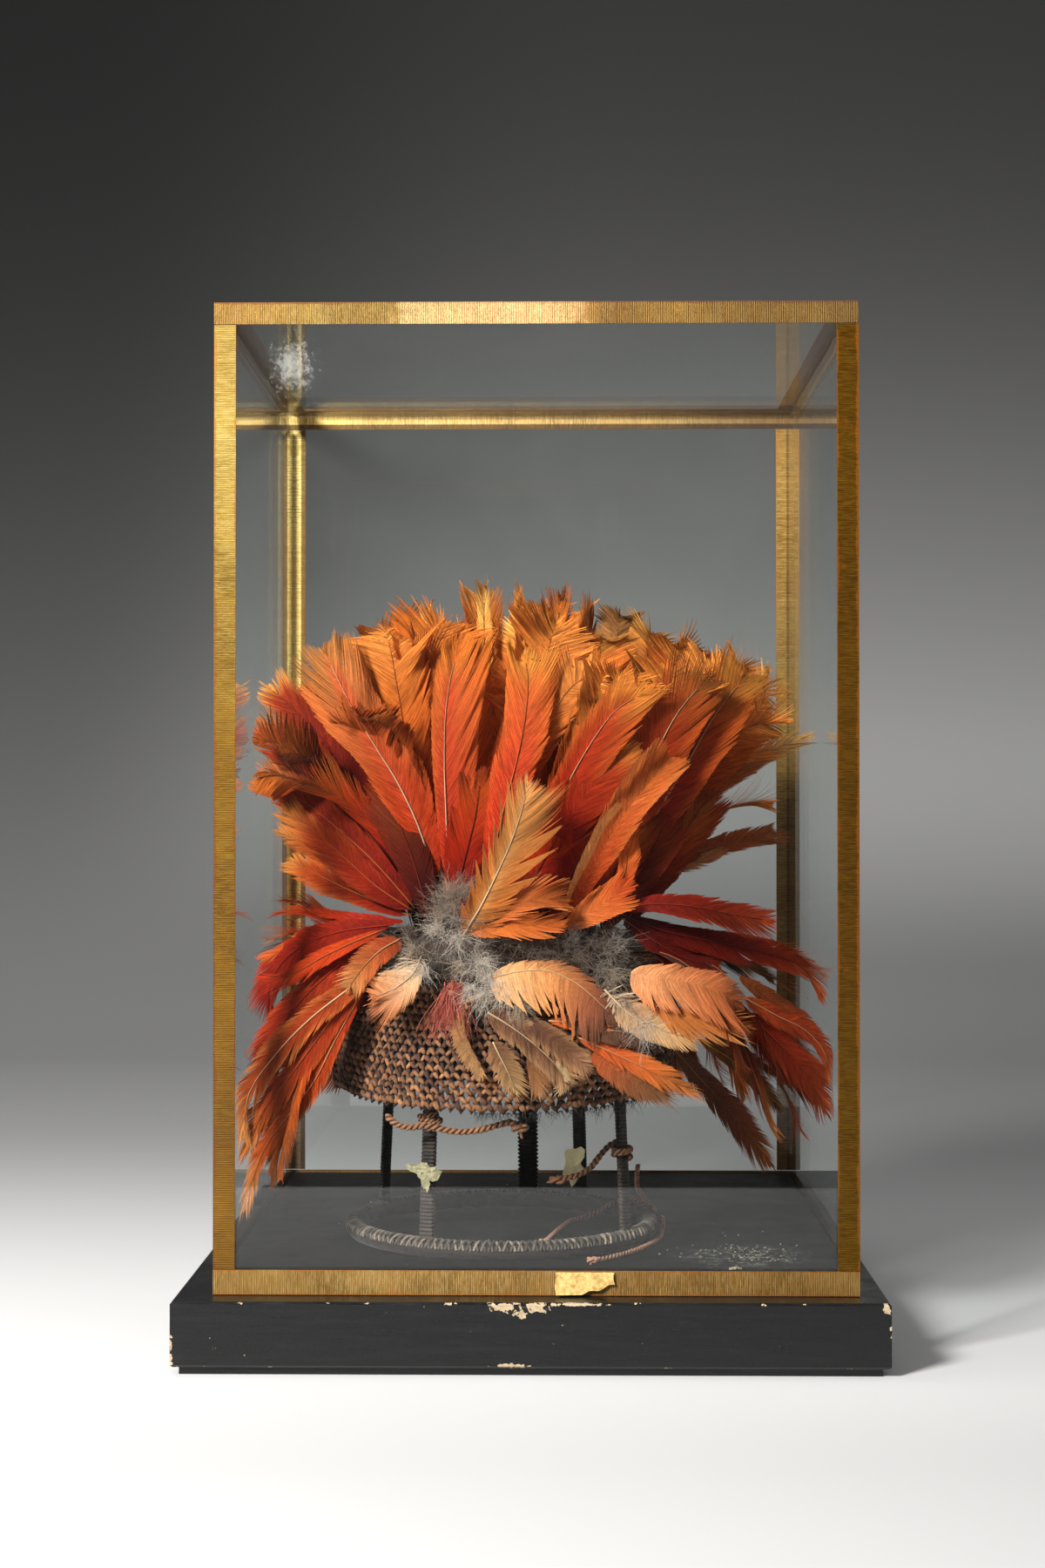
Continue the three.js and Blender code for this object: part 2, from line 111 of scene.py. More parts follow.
class Mesh:
    """Collects vertices, quads, colours and map corners, and makes one object of them."""

    def __init__(self):
        self.v, self.q, self.c, self.uv, self.n = [], [], [], [], 0

    def put(self, verts, quads, cols, uvs=None):
        verts = np.asarray(verts, float).reshape(-1, 3)
        self.v.append(verts)
        self.q.append(np.asarray(quads, int).reshape(-1, 4) + self.n)
        cols = np.asarray(cols, float)
        self.c.append(np.broadcast_to(cols, (len(verts), 3)) if cols.ndim == 1 else cols.reshape(-1, 3))
        self.uv.append(np.zeros((len(verts), 2)) if uvs is None else np.asarray(uvs, float).reshape(-1, 2))
        self.n += len(verts)

    def ribbons(self, centre, half, cols, cell=None):
        """M strips of K+1 points: centre and half-width vectors are (M, K+1, 3)."""
        m, k1, _ = centre.shape
        v = np.stack([centre - half, centre + half], axis=2)
        base = (np.arange(m)[:, None] * k1 + np.arange(k1 - 1)[None, :]) * 2
        q = np.stack([base, base + 1, base + 3, base + 2], axis=-1)
        c = np.repeat(cols[:, :, None, :], 2, axis=2)
        uv = None
        if cell is not None:
            x0, y0, x1, y1 = cell
            a = (np.arange(m)[:, None] + np.array([0.0, 1.0])[None, :]) / m
            uu = np.broadcast_to((x0 + (x1 - x0) * a)[:, None, :], (m, k1, 2))
            vv = np.broadcast_to((y0 + (y1 - y0) * np.linspace(0, 1, k1))[None, :, None], (m, k1, 2))
            uv = np.stack([uu, vv], axis=-1)
        self.put(v, q, c.reshape(-1, 3), uv)

    def tube(self, line, radius, sides, cols, closed=False, ends=True, up=None, cell=None):
        """A tube on the line. radius is a number, one per point, or one per point and side."""
        line = np.asarray(line, float)
        n = len(line)
        t, s, w = frames(line, up)
        r = np.broadcast_to(np.asarray(radius, float).reshape((-1, 1) if np.ndim(radius) == 1 else (1, 1) if np.ndim(radius) == 0 else np.shape(radius)), (n, sides))
        a = np.arange(sides) * 2 * math.pi / sides
        v = line[:, None, :] + r[:, :, None] * (np.cos(a)[None, :, None] * s[:, None, :] + np.sin(a)[None, :, None] * w[:, None, :])
        i, j = np.meshgrid(np.arange(n - 1), np.arange(sides), indexing="ij")
        jn = (j + 1) % sides
        q = np.stack([i * sides + j, i * sides + jn, (i + 1) * sides + jn, (i + 1) * sides + j], axis=-1).reshape(-1, 4)
        verts = v.reshape(-1, 3)
        cols = np.asarray(cols, float)
        if cols.ndim == 2 and len(cols) == n:
            cols = np.repeat(cols[:, None, :], sides, axis=1).reshape(-1, 3)
        if cols.ndim == 1:
            cols = np.broadcast_to(cols, (len(verts), 3))
        uv = np.zeros((n, sides, 2))
        if cell is not None:
            x0, y0, x1, y1 = cell
            uv[..., 0] = x0 + (x1 - x0) * (np.arange(sides) / sides)[None, :]
            uv[..., 1] = y0 + (y1 - y0) * np.linspace(0, 1, n)[:, None]
        if ends:
            verts = np.concatenate([verts, line[:1] - t[:1] * 0.3 * r[0].mean(), line[-1:] + t[-1:] * 0.3 * r[-1].mean()])
            cols = np.concatenate([cols, cols[:1], cols[-1:]])
            uv = np.concatenate([uv.reshape(-1, 2), uv.reshape(-1, 2)[:1], uv.reshape(-1, 2)[-1:]])
            e, f = n * sides, n * sides + 1
            caps = []
            for k in range(0, sides, 2):
                a1, a2, a3 = k, (k + 1) % sides, (k + 2) % sides
                caps.append([e, a3, a2, a1])
                o = (n - 1) * sides
                caps.append([f, o + a1, o + a2, o + a3])
            q = np.concatenate([q, np.array(caps)])
        self.put(verts, q, cols, uv.reshape(-1, 2))

    def make(self, name, material, smooth=True, slot=None, node=(), mapped=False):
        v = np.concatenate(self.v)
        if slot in ("crown_feather", "skirt_feather", "hair_and_down", "tassel_fibre"):
            v = held_by_glass(v)
        v = v / 1000
        q = np.concatenate(self.q)
        tri = (q[:, 3] == q[:, 2]) | (q[:, 3] == q[:, 0])
        me = bpy.data.meshes.new(name)
        sizes = np.where(tri, 3, 4)
        me.vertices.add(len(v))
        me.vertices.foreach_set("co", v.ravel())
        loops = np.concatenate([r[:3] if t else r for r, t in zip(q, tri)]) if tri.any() else q.ravel()
        me.loops.add(len(loops))
        me.loops.foreach_set("vertex_index", loops)
        me.polygons.add(len(q))
        starts = np.concatenate([[0], np.cumsum(sizes)[:-1]])
        me.polygons.foreach_set("loop_start", starts)
        me.polygons.foreach_set("use_smooth", np.full(len(q), smooth))
        me.update(calc_edges=True)
        me.validate()
        tint = me.attributes.new("tint", "FLOAT_COLOR", "POINT")
        c = np.concatenate([np.concatenate(self.c), np.ones((len(v), 1))], axis=1)
        tint.data.foreach_set("color", c.ravel())
        if mapped:
            uv = me.uv_layers.new(name="OFBake")
            uv.data.foreach_set("uv", np.concatenate(self.uv)[loops].ravel())
        me.materials.append(material)
        o = bpy.data.objects.new(name, me)
        scene.collection.objects.link(o)
        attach(o, "root")
        if node:
            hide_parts(*node)
        return o


def held_by_glass(v):
    """Tips that reach a pane are pressed flat against its inner face."""
    v = v.copy()
    for axis, face, sign in ((0, -156.8, -1), (0, 162.4, 1), (1, -159.6, -1), (1, 159.6, 1)):
        over = np.maximum(sign * (v[:, axis] - face) + 4.0, 0)
        v[:, axis] -= sign * (over - 3.2 * (1 - np.exp(-over / 3.2)))
    return v


def srgb(h):
    """Linear colour of a six-figure hex."""
    v = np.array([int(h[k : k + 2], 16) for k in (0, 2, 4)]) / 255
    return np.where(v <= 0.04045, v / 12.92, ((v + 0.055) / 1.055) ** 2.4)


# ---------- materials ----------
class Look:
    def __init__(self, name):
        self.m = bpy.data.materials.new(name)
        self.m.use_nodes = True
        self.t = self.m.node_tree
        self.t.nodes.clear()
        self.out = self.t.nodes.new("ShaderNodeOutputMaterial")
        self.coord = None

    def put(self, sock, v):
        if isinstance(v, bpy.types.NodeSocket):
            self.t.links.new(v, sock)
        elif isinstance(v, bpy.types.Node):
            self.t.links.new(v.outputs[0], sock)
        elif hasattr(v, "__len__") and len(v) == 3 and sock.type == "RGBA":
            sock.default_value = (*[float(x) for x in v], 1.0)
        elif hasattr(v, "__len__"):
            sock.default_value = [float(x) for x in v]
        else:
            sock.default_value = v

    def add(self, kind, ins=None, **props):
        n = self.t.nodes.new("ShaderNode" + kind)
        for k, v in props.items():
            setattr(n, k, v)
        for k, v in (ins or {}).items():
            self.put(n.inputs[k], v)
        return n

    def place(self):
        if self.coord is None:
            self.coord = self.add("TexCoord").outputs["Object"]
        return self.coord

    def noise(self, scale, detail=4.0, rough=0.55, stretch=None, vec=None, distortion=0.0):
        vec = vec or self.place()
        if stretch:
            vec = self.add("Mapping", {"Vector": vec, "Scale": stretch}).outputs[0]
        return self.add("TexNoise", {"Vector": vec, "Scale": scale, "Detail": detail, "Roughness": rough, "Distortion": distortion}).outputs[0]

    def math(self, op, a, b=0.0, c=None, clamp=False):
        ins = {0: a, 1: b}
        if c is not None:
            ins[2] = c
        n = self.add("Math", ins, operation=op)
        n.use_clamp = clamp
        return n.outputs[0]

    def step(self, v, lo, hi, a=0.0, b=1.0):
        return self.add("MapRange", {"Value": v, "From Min": lo, "From Max": hi, "To Min": a, "To Max": b}, interpolation_type="SMOOTHSTEP").outputs[0]

    def mix(self, fac, a, b, mode="MIX"):
        n = self.add("Mix", {0: fac, 6: a, 7: b}, data_type="RGBA", blend_type=mode)
        n.clamp_factor = True
        return n.outputs[2]

    def xyz(self):
        n = self.add("SeparateXYZ", {0: self.place()})
        return n.outputs[0], n.outputs[1], n.outputs[2]

    def bump(self, height, strength=0.5, distance=0.0005, normal=None):
        ins = {"Height": height, "Strength": strength, "Distance": distance}
        if normal is not None:
            ins["Normal"] = normal
        return self.add("Bump", ins).outputs[0]

    def principled(self, **ins):
        n = self.add("BsdfPrincipled")
        for k, v in ins.items():
            self.put(n.inputs[k.replace("_", " ")], v)
        return n

    def done(self, shader):
        self.t.links.new(shader.outputs[0], self.out.inputs["Surface"])
        return self.m


def feather_look(name, rough=0.76, through=0.26, sheen=0.03, grain=0.12, lines=0.34, tone=(1.10, 1.0, 0.95)):
    k = Look(name)
    tint = k.add("Attribute", attribute_name="tint").outputs["Color"]
    fine = k.noise(900, 3, 0.6)
    wide = k.noise(60, 2, 0.5)
    barb = k.noise(1.0, 3, 0.7, stretch=(1300.0, 9.0, 1.0), vec=k.add("UVMap", uv_map="OFBake").outputs[0])
    c = k.mix(k.step(barb, 0.36, 0.64), k.mix(1.0, tint, (1.0 - lines, 1.0 - 1.2 * lines, 1.0 - 1.35 * lines), "MULTIPLY"), k.mix(1.0, tint, (1.0 + lines, 1.0 + 0.8 * lines, 1.0 + 0.4 * lines), "MULTIPLY"))
    c = k.mix(1.0, c, tone, "MULTIPLY")
    c = k.mix(k.step(fine, 0.35, 0.7, 0.0, grain), c, k.mix(1.0, c, (0.45, 0.4, 0.38), "MULTIPLY"))
    c = k.mix(k.step(wide, 0.4, 0.75, 0.0, 0.2), c, k.mix(1.0, c, (1.25, 1.2, 1.1), "MULTIPLY"))
    p = k.principled(Base_Color=c, Roughness=k.step(fine, 0.3, 0.7, rough - 0.08, rough + 0.12), Normal=k.bump(k.math("ADD", fine, k.math("MULTIPLY", barb, 2.0)), 0.3, 0.0002))
    p.inputs["Sheen Weight"].default_value = sheen
    p.inputs["Sheen Roughness"].default_value = 0.4
    p.inputs["Specular IOR Level"].default_value = 0.14
    t = k.add("BsdfTranslucent", {"Color": c})
    return k.done(k.add("MixShader", {0: through, 1: p.outputs[0], 2: t.outputs[0]}))


def strand_look(name, rough=0.7, through=0.15, sheen=0.2):
    k = Look(name)
    tint = k.add("Attribute", attribute_name="tint").outputs["Color"]
    fine = k.noise(1400, 2, 0.6)
    c = k.mix(k.step(fine, 0.3, 0.75, 0.0, 0.35), tint, k.mix(1.0, tint, (0.5, 0.48, 0.46), "MULTIPLY"))
    p = k.principled(Base_Color=c, Roughness=k.step(fine, 0.3, 0.7, rough - 0.1, min(1, rough + 0.1)))
    p.inputs["Sheen Weight"].default_value = sheen
    p.inputs["Specular IOR Level"].default_value = 0.3
    if not through:
        return k.done(p)
    t = k.add("BsdfTranslucent", {"Color": c})
    return k.done(k.add("MixShader", {0: through, 1: p.outputs[0], 2: t.outputs[0]}))


def fibre_look(name, dark, light, fibre=2600, rough=0.75):
    """Twisted plant fibre: tint from the mesh (which carries the painted light and shade of crests and grooves), long
    fine streaks and darker patches.
    """
    k = Look(name)
    tint = k.add("Attribute", attribute_name="tint").outputs["Color"]
    streak = k.noise(fibre, 4, 0.65, stretch=(1.0, 1.0, 0.35))
    patch = k.noise(140, 3, 0.5)
    c = k.mix(k.step(streak, 0.35, 0.7), k.mix(1.0, tint, dark, "MULTIPLY"), k.mix(1.0, tint, light, "MULTIPLY"))
    c = k.mix(k.step(patch, 0.45, 0.75, 0.0, 0.4), c, k.mix(1.0, c, (0.62, 0.55, 0.5), "MULTIPLY"))
    p = k.principled(Base_Color=c, Roughness=k.step(patch, 0.3, 0.7, rough - 0.12, rough + 0.1), Normal=k.bump(streak, 0.55, 0.0003))
    p.inputs["Sheen Weight"].default_value = 0.15
    p.inputs["Specular IOR Level"].default_value = 0.35
    return k.done(p)


PLUME = feather_look("feather_vane")
PALE = feather_look("pale_vane", rough=0.78, through=0.3, sheen=0.12, grain=0.12, lines=0.26, tone=(1.08, 1.0, 0.9))
DOWN = strand_look("down_filament", 0.9, 0.3, 0.5)
HAIR = strand_look("hair_strand", 0.6, 0.1, 0.2)
NET = fibre_look("netted_fibre", (0.62, 0.52, 0.45), (1.16, 1.02, 0.90))
CORD = fibre_look("twisted_fibre", (0.7, 0.62, 0.58), (1.2, 1.15, 1.1), fibre=2200)
CANE = fibre_look("wrapped_thread", (0.6, 0.55, 0.5), (1.3, 1.25, 1.2), fibre=1800, rough=0.62)


def black_paint():
    """Old black gloss paint on a wooden block: brush marks, dust, scratches and chips down to pale wood."""
    k = Look("black_paint")
    x, y, z = k.xyz()
    fine = k.noise(420, 5, 0.6)
    brush = k.noise(90, 4, 0.6, stretch=(0.25, 0.25, 3.0))
    dust = k.noise(2400, 2, 0.7)
    base = k.mix(k.step(brush, 0.35, 0.75, 0.0, 1.0), srgb("050506"), srgb("0d0e10"))
    base = k.mix(k.step(dust, 0.64, 0.74, 0.0, 0.6), base, srgb("5a5a5c"))
    scuff = k.noise(60, 6, 0.75, stretch=(0.6, 0.6, 2.2), distortion=1.2)
    base = k.mix(k.step(scuff, 0.6, 0.78, 0.0, 0.22), base, srgb("4c4c4c"))
    ax, ay = k.math("ABSOLUTE", x), k.math("ABSOLUTE", y)
    out = k.math("MAXIMUM", ax, ay)
    corner = k.math("MINIMUM", ax, ay)
    top = k.step(z, 0.0345, 0.0368)
    low = k.step(z, 0.0063, 0.0042)
    rim = k.math("MULTIPLY", k.step(out, 0.1772, 0.1794), k.math("MAXIMUM", top, low))
    post = k.step(corner, 0.1766, 0.1793)
    edge = k.math("MAXIMUM", rim, post, clamp=True)
    wear = k.noise(75, 5, 0.7)
    chips = k.step(k.math("ADD", wear, k.math("MULTIPLY", edge, 0.165)), 0.742, 0.752)
    specks = k.step(k.noise(330, 3, 0.6), 0.745, 0.757)
    marks = k.math("MAXIMUM", chips, specks, clamp=True)
    # the larger chips: centre x, centre z, half sizes, in metres on the front face
    front = k.step(y, -0.1772, -0.179)
    for cx, cz, rx, rz in [(-0.013, 0.0345, 0.0075, 0.0022), (0.0035, 0.0345, 0.006, 0.0028), (-0.004, 0.031, 0.0035, 0.002), (0.024, 0.036, 0.014, 0.0008), (-0.0085, 0.0055, 0.0085, 0.0011), (0.177, 0.0345, 0.002, 0.003)]:
        dx = k.math("DIVIDE", k.math("SUBTRACT", x, cx), rx)
        dz = k.math("DIVIDE", k.math("SUBTRACT", z, cz), rz)
        d = k.math("SQRT", k.math("ADD", k.math("MULTIPLY", dx, dx), k.math("MULTIPLY", dz, dz)))
        d = k.math("ADD", d, k.math("MULTIPLY", k.math("SUBTRACT", fine, 0.5), 3.4))
        marks = k.math("MAXIMUM", marks, k.math("MULTIPLY", k.step(d, 0.95, 0.8), front), clamp=True)
    wood = k.mix(k.noise(800, 3, 0.6), srgb("7d6448"), srgb("d8c3a0"))
    c = k.mix(marks, base, wood)
    rough = k.math("ADD", k.step(brush, 0.3, 0.7, 0.22, 0.46), k.math("MULTIPLY", marks, 0.4))
    h = k.math("SUBTRACT", k.math("MULTIPLY", brush, 0.35), k.math("MULTIPLY", marks, 1.0))
    p = k.principled(Base_Color=c, Roughness=rough, Normal=k.bump(h, 0.5, 0.0004))
    p.inputs["Specular IOR Level"].default_value = 0.45
    return k.done(p)


def floor_paint():
    k = Look("floor_paint")
    x, y, z = k.xyz()
    cloud = k.noise(16, 4, 0.6)
    fine = k.noise(900, 3, 0.7)
    c = k.mix(k.step(cloud, 0.35, 0.7), srgb("050506"), srgb("0c0d0d"))
    c = k.mix(k.step(fine, 0.66, 0.76, 0.0, 0.2), c, srgb("6c6d68"))
    grit = k.noise(260, 4, 0.75)
    dx = k.math("SUBTRACT", x, 0.112)
    dy = k.math("SUBTRACT", y, -0.118)
    near = k.step(k.math("SQRT", k.math("ADD", k.math("MULTIPLY", dx, dx), k.math("MULTIPLY", dy, dy))), 0.045, 0.008)
    c = k.mix(k.math("MULTIPLY", near, k.step(grit, 0.52, 0.6, 0.0, 0.75)), c, srgb("8a8a7c"))
    p = k.principled(Base_Color=c, Roughness=k.step(cloud, 0.3, 0.7, 0.5, 0.68), Normal=k.bump(fine, 0.2, 0.0002))
    p.inputs["Specular IOR Level"].default_value = 0.2
    return k.done(p)


def gilt(name, along, fold, warm=0.5, tarnish_and_shade=0.0, painted_light_grade=None, metal_to=0.3, narrow=False):
    """Gilt paper cloth tape. along is the axis that the strip runs on; fold gives |x| or |y| of the edge it is folded over."""
    k = Look(name)
    x, y, z = k.xyz()
    run = {"x": x, "y": y, "z": z}[along]
    across = k.add("CombineXYZ", {0: k.math("MULTIPLY", run, 1.0), 1: 0.0, 2: 0.0}).outputs[0]
    rib = k.add("TexWave", {"Vector": across, "Scale": 380.0, "Distortion": 0.6, "Detail": 2.0, "Detail Scale": 3.0}, wave_type="BANDS", bands_direction="X").outputs[1]
    stretch = {"x": (1.0, 0.12, 0.12), "y": (0.12, 1.0, 0.12), "z": (0.12, 0.12, 1.0)}[along]
    thread = k.noise(1500, 3, 0.7, stretch=stretch)
    long = {"x": (0.1, 1.0, 1.0), "y": (1.0, 0.1, 1.0), "z": (1.0, 1.0, 0.1)}[along]
    warp = k.noise(2200, 2, 0.6, stretch=long)
    cloud = k.noise(28, 4, 0.6)
    fleck = k.noise(700, 3, 0.75)
    gold = k.mix(k.step(cloud, 0.35, 0.7), srgb("886a2c"), srgb("b8944c"))
    gold = k.mix(k.step(thread, 0.35, 0.68, 0.0, 0.65), gold, srgb("d9bd80"))
    gold = k.mix(k.step(rib, 0.3, 0.75, 0.0, 0.4), gold, srgb("66491a"))
    gold = k.mix(k.step(warp, 0.55, 0.75, 0.0, 0.35), gold, srgb("584018"))
    mott = k.noise(11, 5, 0.7)
    gold = k.mix(k.step(mott, 0.42, 0.66, 0.0, 0.45), gold, srgb("8a6630"))
    # tarnish and painted shade: the colour is pulled toward dark olive; on the right front post this stands in for its
    # shaded side
    if tarnish_and_shade:
        gold = k.mix(tarnish_and_shade, gold, k.mix(k.step(thread, 0.3, 0.7), srgb("4a3408"), srgb("6e5216")))
    # the edges of the folded cloth are worn to its orange-brown ground
    ax, ay = k.math("ABSOLUTE", k.math("SUBTRACT", x, 0.0028)), k.math("ABSOLUTE", y)
    near = k.step(k.math("MINIMUM", ax, ay) if fold == "post" else z, *((0.1607, 0.1632) if fold == "post" else (0.5372, 0.5389) if fold == "roof" else (0.0387, 0.0372)))
    inner = k.step(k.math("MINIMUM", ax, ay), 0.1535, 0.1522) if fold == "post" else k.step(z, *((0.5290, 0.5278) if fold == "roof" else (0.0482, 0.0495)))
    rim = k.math("MAXIMUM", near, k.math("MULTIPLY", inner, 0.8), clamp=True)
    worn = k.step(k.math("ADD", k.noise(45, 5, 0.7), k.math("MULTIPLY", rim, 0.30)), 0.66 - 0.06 * warm, 0.78 - 0.06 * warm)
    c = k.mix(k.math("MULTIPLY", worn, 0.85), gold, k.mix(thread, srgb("84501e"), srgb("b87a38")))
    if fold == "roof" and along == "x":
        # a stretch where the gilding has faded to pale cloth
        xe = k.math("ADD", x, k.math("MULTIPLY", k.math("SUBTRACT", k.noise(160, 4, 0.7), 0.5), 0.03))
        pale = k.math("MULTIPLY", k.step(xe, -0.070, -0.064), k.step(xe, 0.032, 0.022))
        pale = k.math("MULTIPLY", pale, k.step(y, 0.0, -0.1))
        c = k.mix(k.math("MULTIPLY", pale, k.step(fleck, 0.25, 0.6, 0.25, 0.8)), c, srgb("dcc294"))
    c = k.mix(k.step(fleck, 0.72, 0.78, 0.0, 0.6), c, srgb("3d2a10"))
    if painted_light_grade:
        # painted light and shade: the colour is multiplied by a gradient along the strip, brighter where the key light
        # from the upper left falls and darker away from it; values above 1 brighten the back strips
        g = painted_light_grade[0][1]
        for (p0, _), (p1, c1) in zip(painted_light_grade[:-1], painted_light_grade[1:]):
            g = k.mix(k.step(run, p0, p1), g, c1)
        c = k.mix(1.0, c, g, "MULTIPLY")
    if narrow:
        # outside a band in the middle of the strip the colour is darkened
        v = ax if fold == "post" else z
        lo, hi = ((0.1545, 0.1558), (0.1598, 0.1606)) if fold == "post" else ((0.5308, 0.5318), (0.5364, 0.5374))
        dull = (0.22, 0.17, 0.12)
        if narrow == "inner":
            lo, hi, dull = (0.1490, 0.1500), (0.1584, 0.1592), (0.55, 0.52, 0.56)
        band = k.math("MULTIPLY", k.step(v, *lo), k.step(v, hi[1], hi[0]))
        c = k.mix(band, k.mix(1.0, c, dull, "MULTIPLY"), c)
    metal = k.math("MULTIPLY", k.math("SUBTRACT", 1.0, worn), metal_to)
    h = k.math("ADD", k.math("MULTIPLY", rib, 0.7), k.math("ADD", thread, k.math("MULTIPLY", cloud, 1.2)))
    p = k.principled(Base_Color=c, Metallic=metal, Roughness=k.step(thread, 0.3, 0.7, 0.36, 0.55), Normal=k.bump(h, 0.6, 0.0004))
    p.inputs["Specular IOR Level"].default_value = 0.15
    return k.done(p)


def pane_glass(name, haze=0.03, smear=None, tone=(0.975, 0.985, 0.98), gloss=1.0):
    """Clear sheet glass: straight see-through, gloss that grows to grazing, a film of dust with specks, wiped streaks and a smear."""
    k = Look(name)
    clear = k.add("BsdfTransparent", {"Color": tuple(tone) + (1.0,)})
    shine = k.add("BsdfGlossy", {"Color": (1, 1, 1, 1), "Roughness": 0.012})
    facing = k.add("LayerWeight", {"Blend": 0.5}).outputs["Facing"]
    fres = k.math("ADD", 0.038, k.math("MULTIPLY", k.math("POWER", facing, 4.8), 0.9))
    glass = k.add("MixShader", {0: k.math("MULTIPLY", fres, gloss), 1: clear.outputs[0], 2: shine.outputs[0]})
    film = k.noise(9, 5, 0.65, distortion=0.6)
    wipe = k.noise(30, 4, 0.6, stretch=(3.0, 3.0, 0.4))
    speck = k.noise(520, 2, 0.6)
    f = k.math("MULTIPLY", k.step(film, 0.3, 0.8, 0.3, 1.6), haze)
    f = k.math("ADD", f, k.math("MULTIPLY", k.step(wipe, 0.58, 0.8), haze * 0.8))
    f = k.math("ADD", f, k.step(speck, 0.79, 0.83, 0.0, 0.3))
    if smear:
        cx, cy, cz, rx, rz, amount = smear
        x, y, z = k.xyz()
        dx = k.math("DIVIDE", k.math("SUBTRACT", x, cx), rx)
        dz = k.math("DIVIDE", k.math("SUBTRACT", z, cz), rz)
        d = k.math("SQRT", k.math("ADD", k.math("MULTIPLY", dx, dx), k.math("MULTIPLY", dz, dz)))
        d = k.math("ADD", d, k.math("MULTIPLY", k.math("SUBTRACT", k.noise(300, 6, 0.85), 0.5), 6.5))
        f = k.math("ADD", f, k.math("MULTIPLY", k.step(d, 1.0, 0.3), amount))
    dust = k.add("BsdfDiffuse", {"Color": (0.8, 0.81, 0.78, 1.0)})
    return k.done(k.add("MixShader", {0: k.math("MINIMUM", f, 0.9), 1: glass.outputs[0], 2: dust.outputs[0]}))


def plain_look(name, lo, hi, scale=300, rough=0.8, bump=0.3, painted_light_gain=1.0):
    k = Look(name)
    n = k.noise(scale, 4, 0.65)
    p = k.principled(Base_Color=k.mix(k.step(n, 0.3, 0.7), srgb(lo) * painted_light_gain, srgb(hi) * painted_light_gain), Roughness=k.step(n, 0.3, 0.7, rough - 0.1, min(1.0, rough + 0.1)), Normal=k.bump(n, bump, 0.0004))
    return k.done(p)


BLACK = black_paint()
FLOORP = floor_paint()
LOOKS = {
    "plinth_foot": BLACK, "plinth_block": BLACK, "floor_panel": FLOORP,
    "pane_front": pane_glass("pane_front_glass", 0.0012, gloss=0.8, smear=(-0.1206, -0.161, 0.507, 0.009, 0.012, 0.12)),
    "pane_back": pane_glass("pane_back_glass", 0.010),
    "pane_left": pane_glass("pane_left_glass", 0.006), "pane_right": pane_glass("pane_right_glass", 0.006),
    "pane_top": pane_glass("pane_top_glass", 0.028, gloss=0.4),
}
# the gradients given to the strips below are painted light and shade
ROOF_FRONT = gilt("gilt_tape_top_front", "x", "roof", painted_light_grade=[(-0.16, (0.60, 0.53, 0.38)), (-0.09, (0.52, 0.50, 0.36)), (0.0, (0.74, 0.58, 0.45)), (0.05, (0.38, 0.31, 0.16)), (0.16, (0.30, 0.24, 0.10))])
ROOF_BACK = gilt("gilt_tape_top_back", "x", "roof", 0.2, 0.0, [(-0.16, (3.9, 4.2, 4.8)), (0.0, (2.7, 2.6, 3.0)), (0.16, (1.2, 1.05, 1.1))], 0.0, True)
ROOF_Y = gilt("gilt_tape_top_side", "y", "roof", 0.6, 0.0, [(-0.16, (1.3, 1.1, 0.7)), (0.16, (1.5, 1.3, 0.9))], 0.0, True)
BASE_FRONT = gilt("gilt_tape_foot_front", "x", "base", 0.6, 0.0, [(-0.16, (0.80, 0.75, 0.72)), (0.02, (0.80, 0.73, 0.72)), (0.14, (0.55, 0.48, 0.42))])
BASE_BACK = gilt("gilt_tape_foot_back", "x", "base", 0.6, 0.0, [(-0.16, (0.6, 0.5, 0.3)), (0.16, (0.5, 0.4, 0.2))])
BASE_Y = gilt("gilt_tape_foot_side", "y", "base", 0.6, 0.0, [(-0.16, (0.6, 0.5, 0.3)), (0.16, (0.5, 0.4, 0.2))])
POST_LEFT = gilt("gilt_tape_post_left", "z", "post", 0.4, 0.0, [(0.119, (0.34, 0.25, 0.04)), (0.207, (0.33, 0.24, 0.03)), (0.295, (0.44, 0.35, 0.07)), (0.383, (0.58, 0.54, 0.28)), (0.493, (1.0, 1.1, 0.9))])
POST_RIGHT = gilt("gilt_tape_post_right", "z", "post", 1.3, 0.75, [(0.1, (0.46, 0.36, 0.02)), (0.3, (0.40, 0.28, 0.0)), (0.5, (0.54, 0.40, 0.02))])
BACK_LEFT = gilt("gilt_tape_back_left", "z", "post", 0.2, 0.0, [(0.05, (0.5, 0.35, 0.25)), (0.26, (1.6, 1.3, 1.0)), (0.33, (3.4, 3.9, 4.6)), (0.5, (4.0, 4.6, 5.2))], 0.0, True)
BACK_RIGHT = gilt("gilt_tape_back_right", "z", "post", 0.9, 0.3, [(0.05, (0.95, 0.70, 0.42)), (0.3, (1.05, 0.95, 0.8)), (0.5, (2.0, 1.8, 1.5))], 0.3, "inner")
LOOKS.update(tape_top_front=ROOF_FRONT, tape_top_back=ROOF_BACK, tape_top_left=ROOF_Y, tape_top_right=ROOF_Y, tape_foot_front=BASE_FRONT, tape_foot_back=BASE_BACK,
             tape_foot_left=BASE_Y, tape_foot_right=BASE_Y, tape_front_left=POST_LEFT, tape_front_right=POST_RIGHT, tape_back_left=BACK_LEFT, tape_back_right=BACK_RIGHT)
HOOP = plain_look("hoop_cane", "1c1512", "3c2c22", 900, 0.7)
LOOKS["stand_hoop"] = HOOP
for n, m in LOOKS.items():
    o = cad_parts[n]
    for s in range(max(1, len(o.material_slots))):
        if len(o.material_slots):
            o.material_slots[s].material = m
        else:
            o.data.materials.append(m)


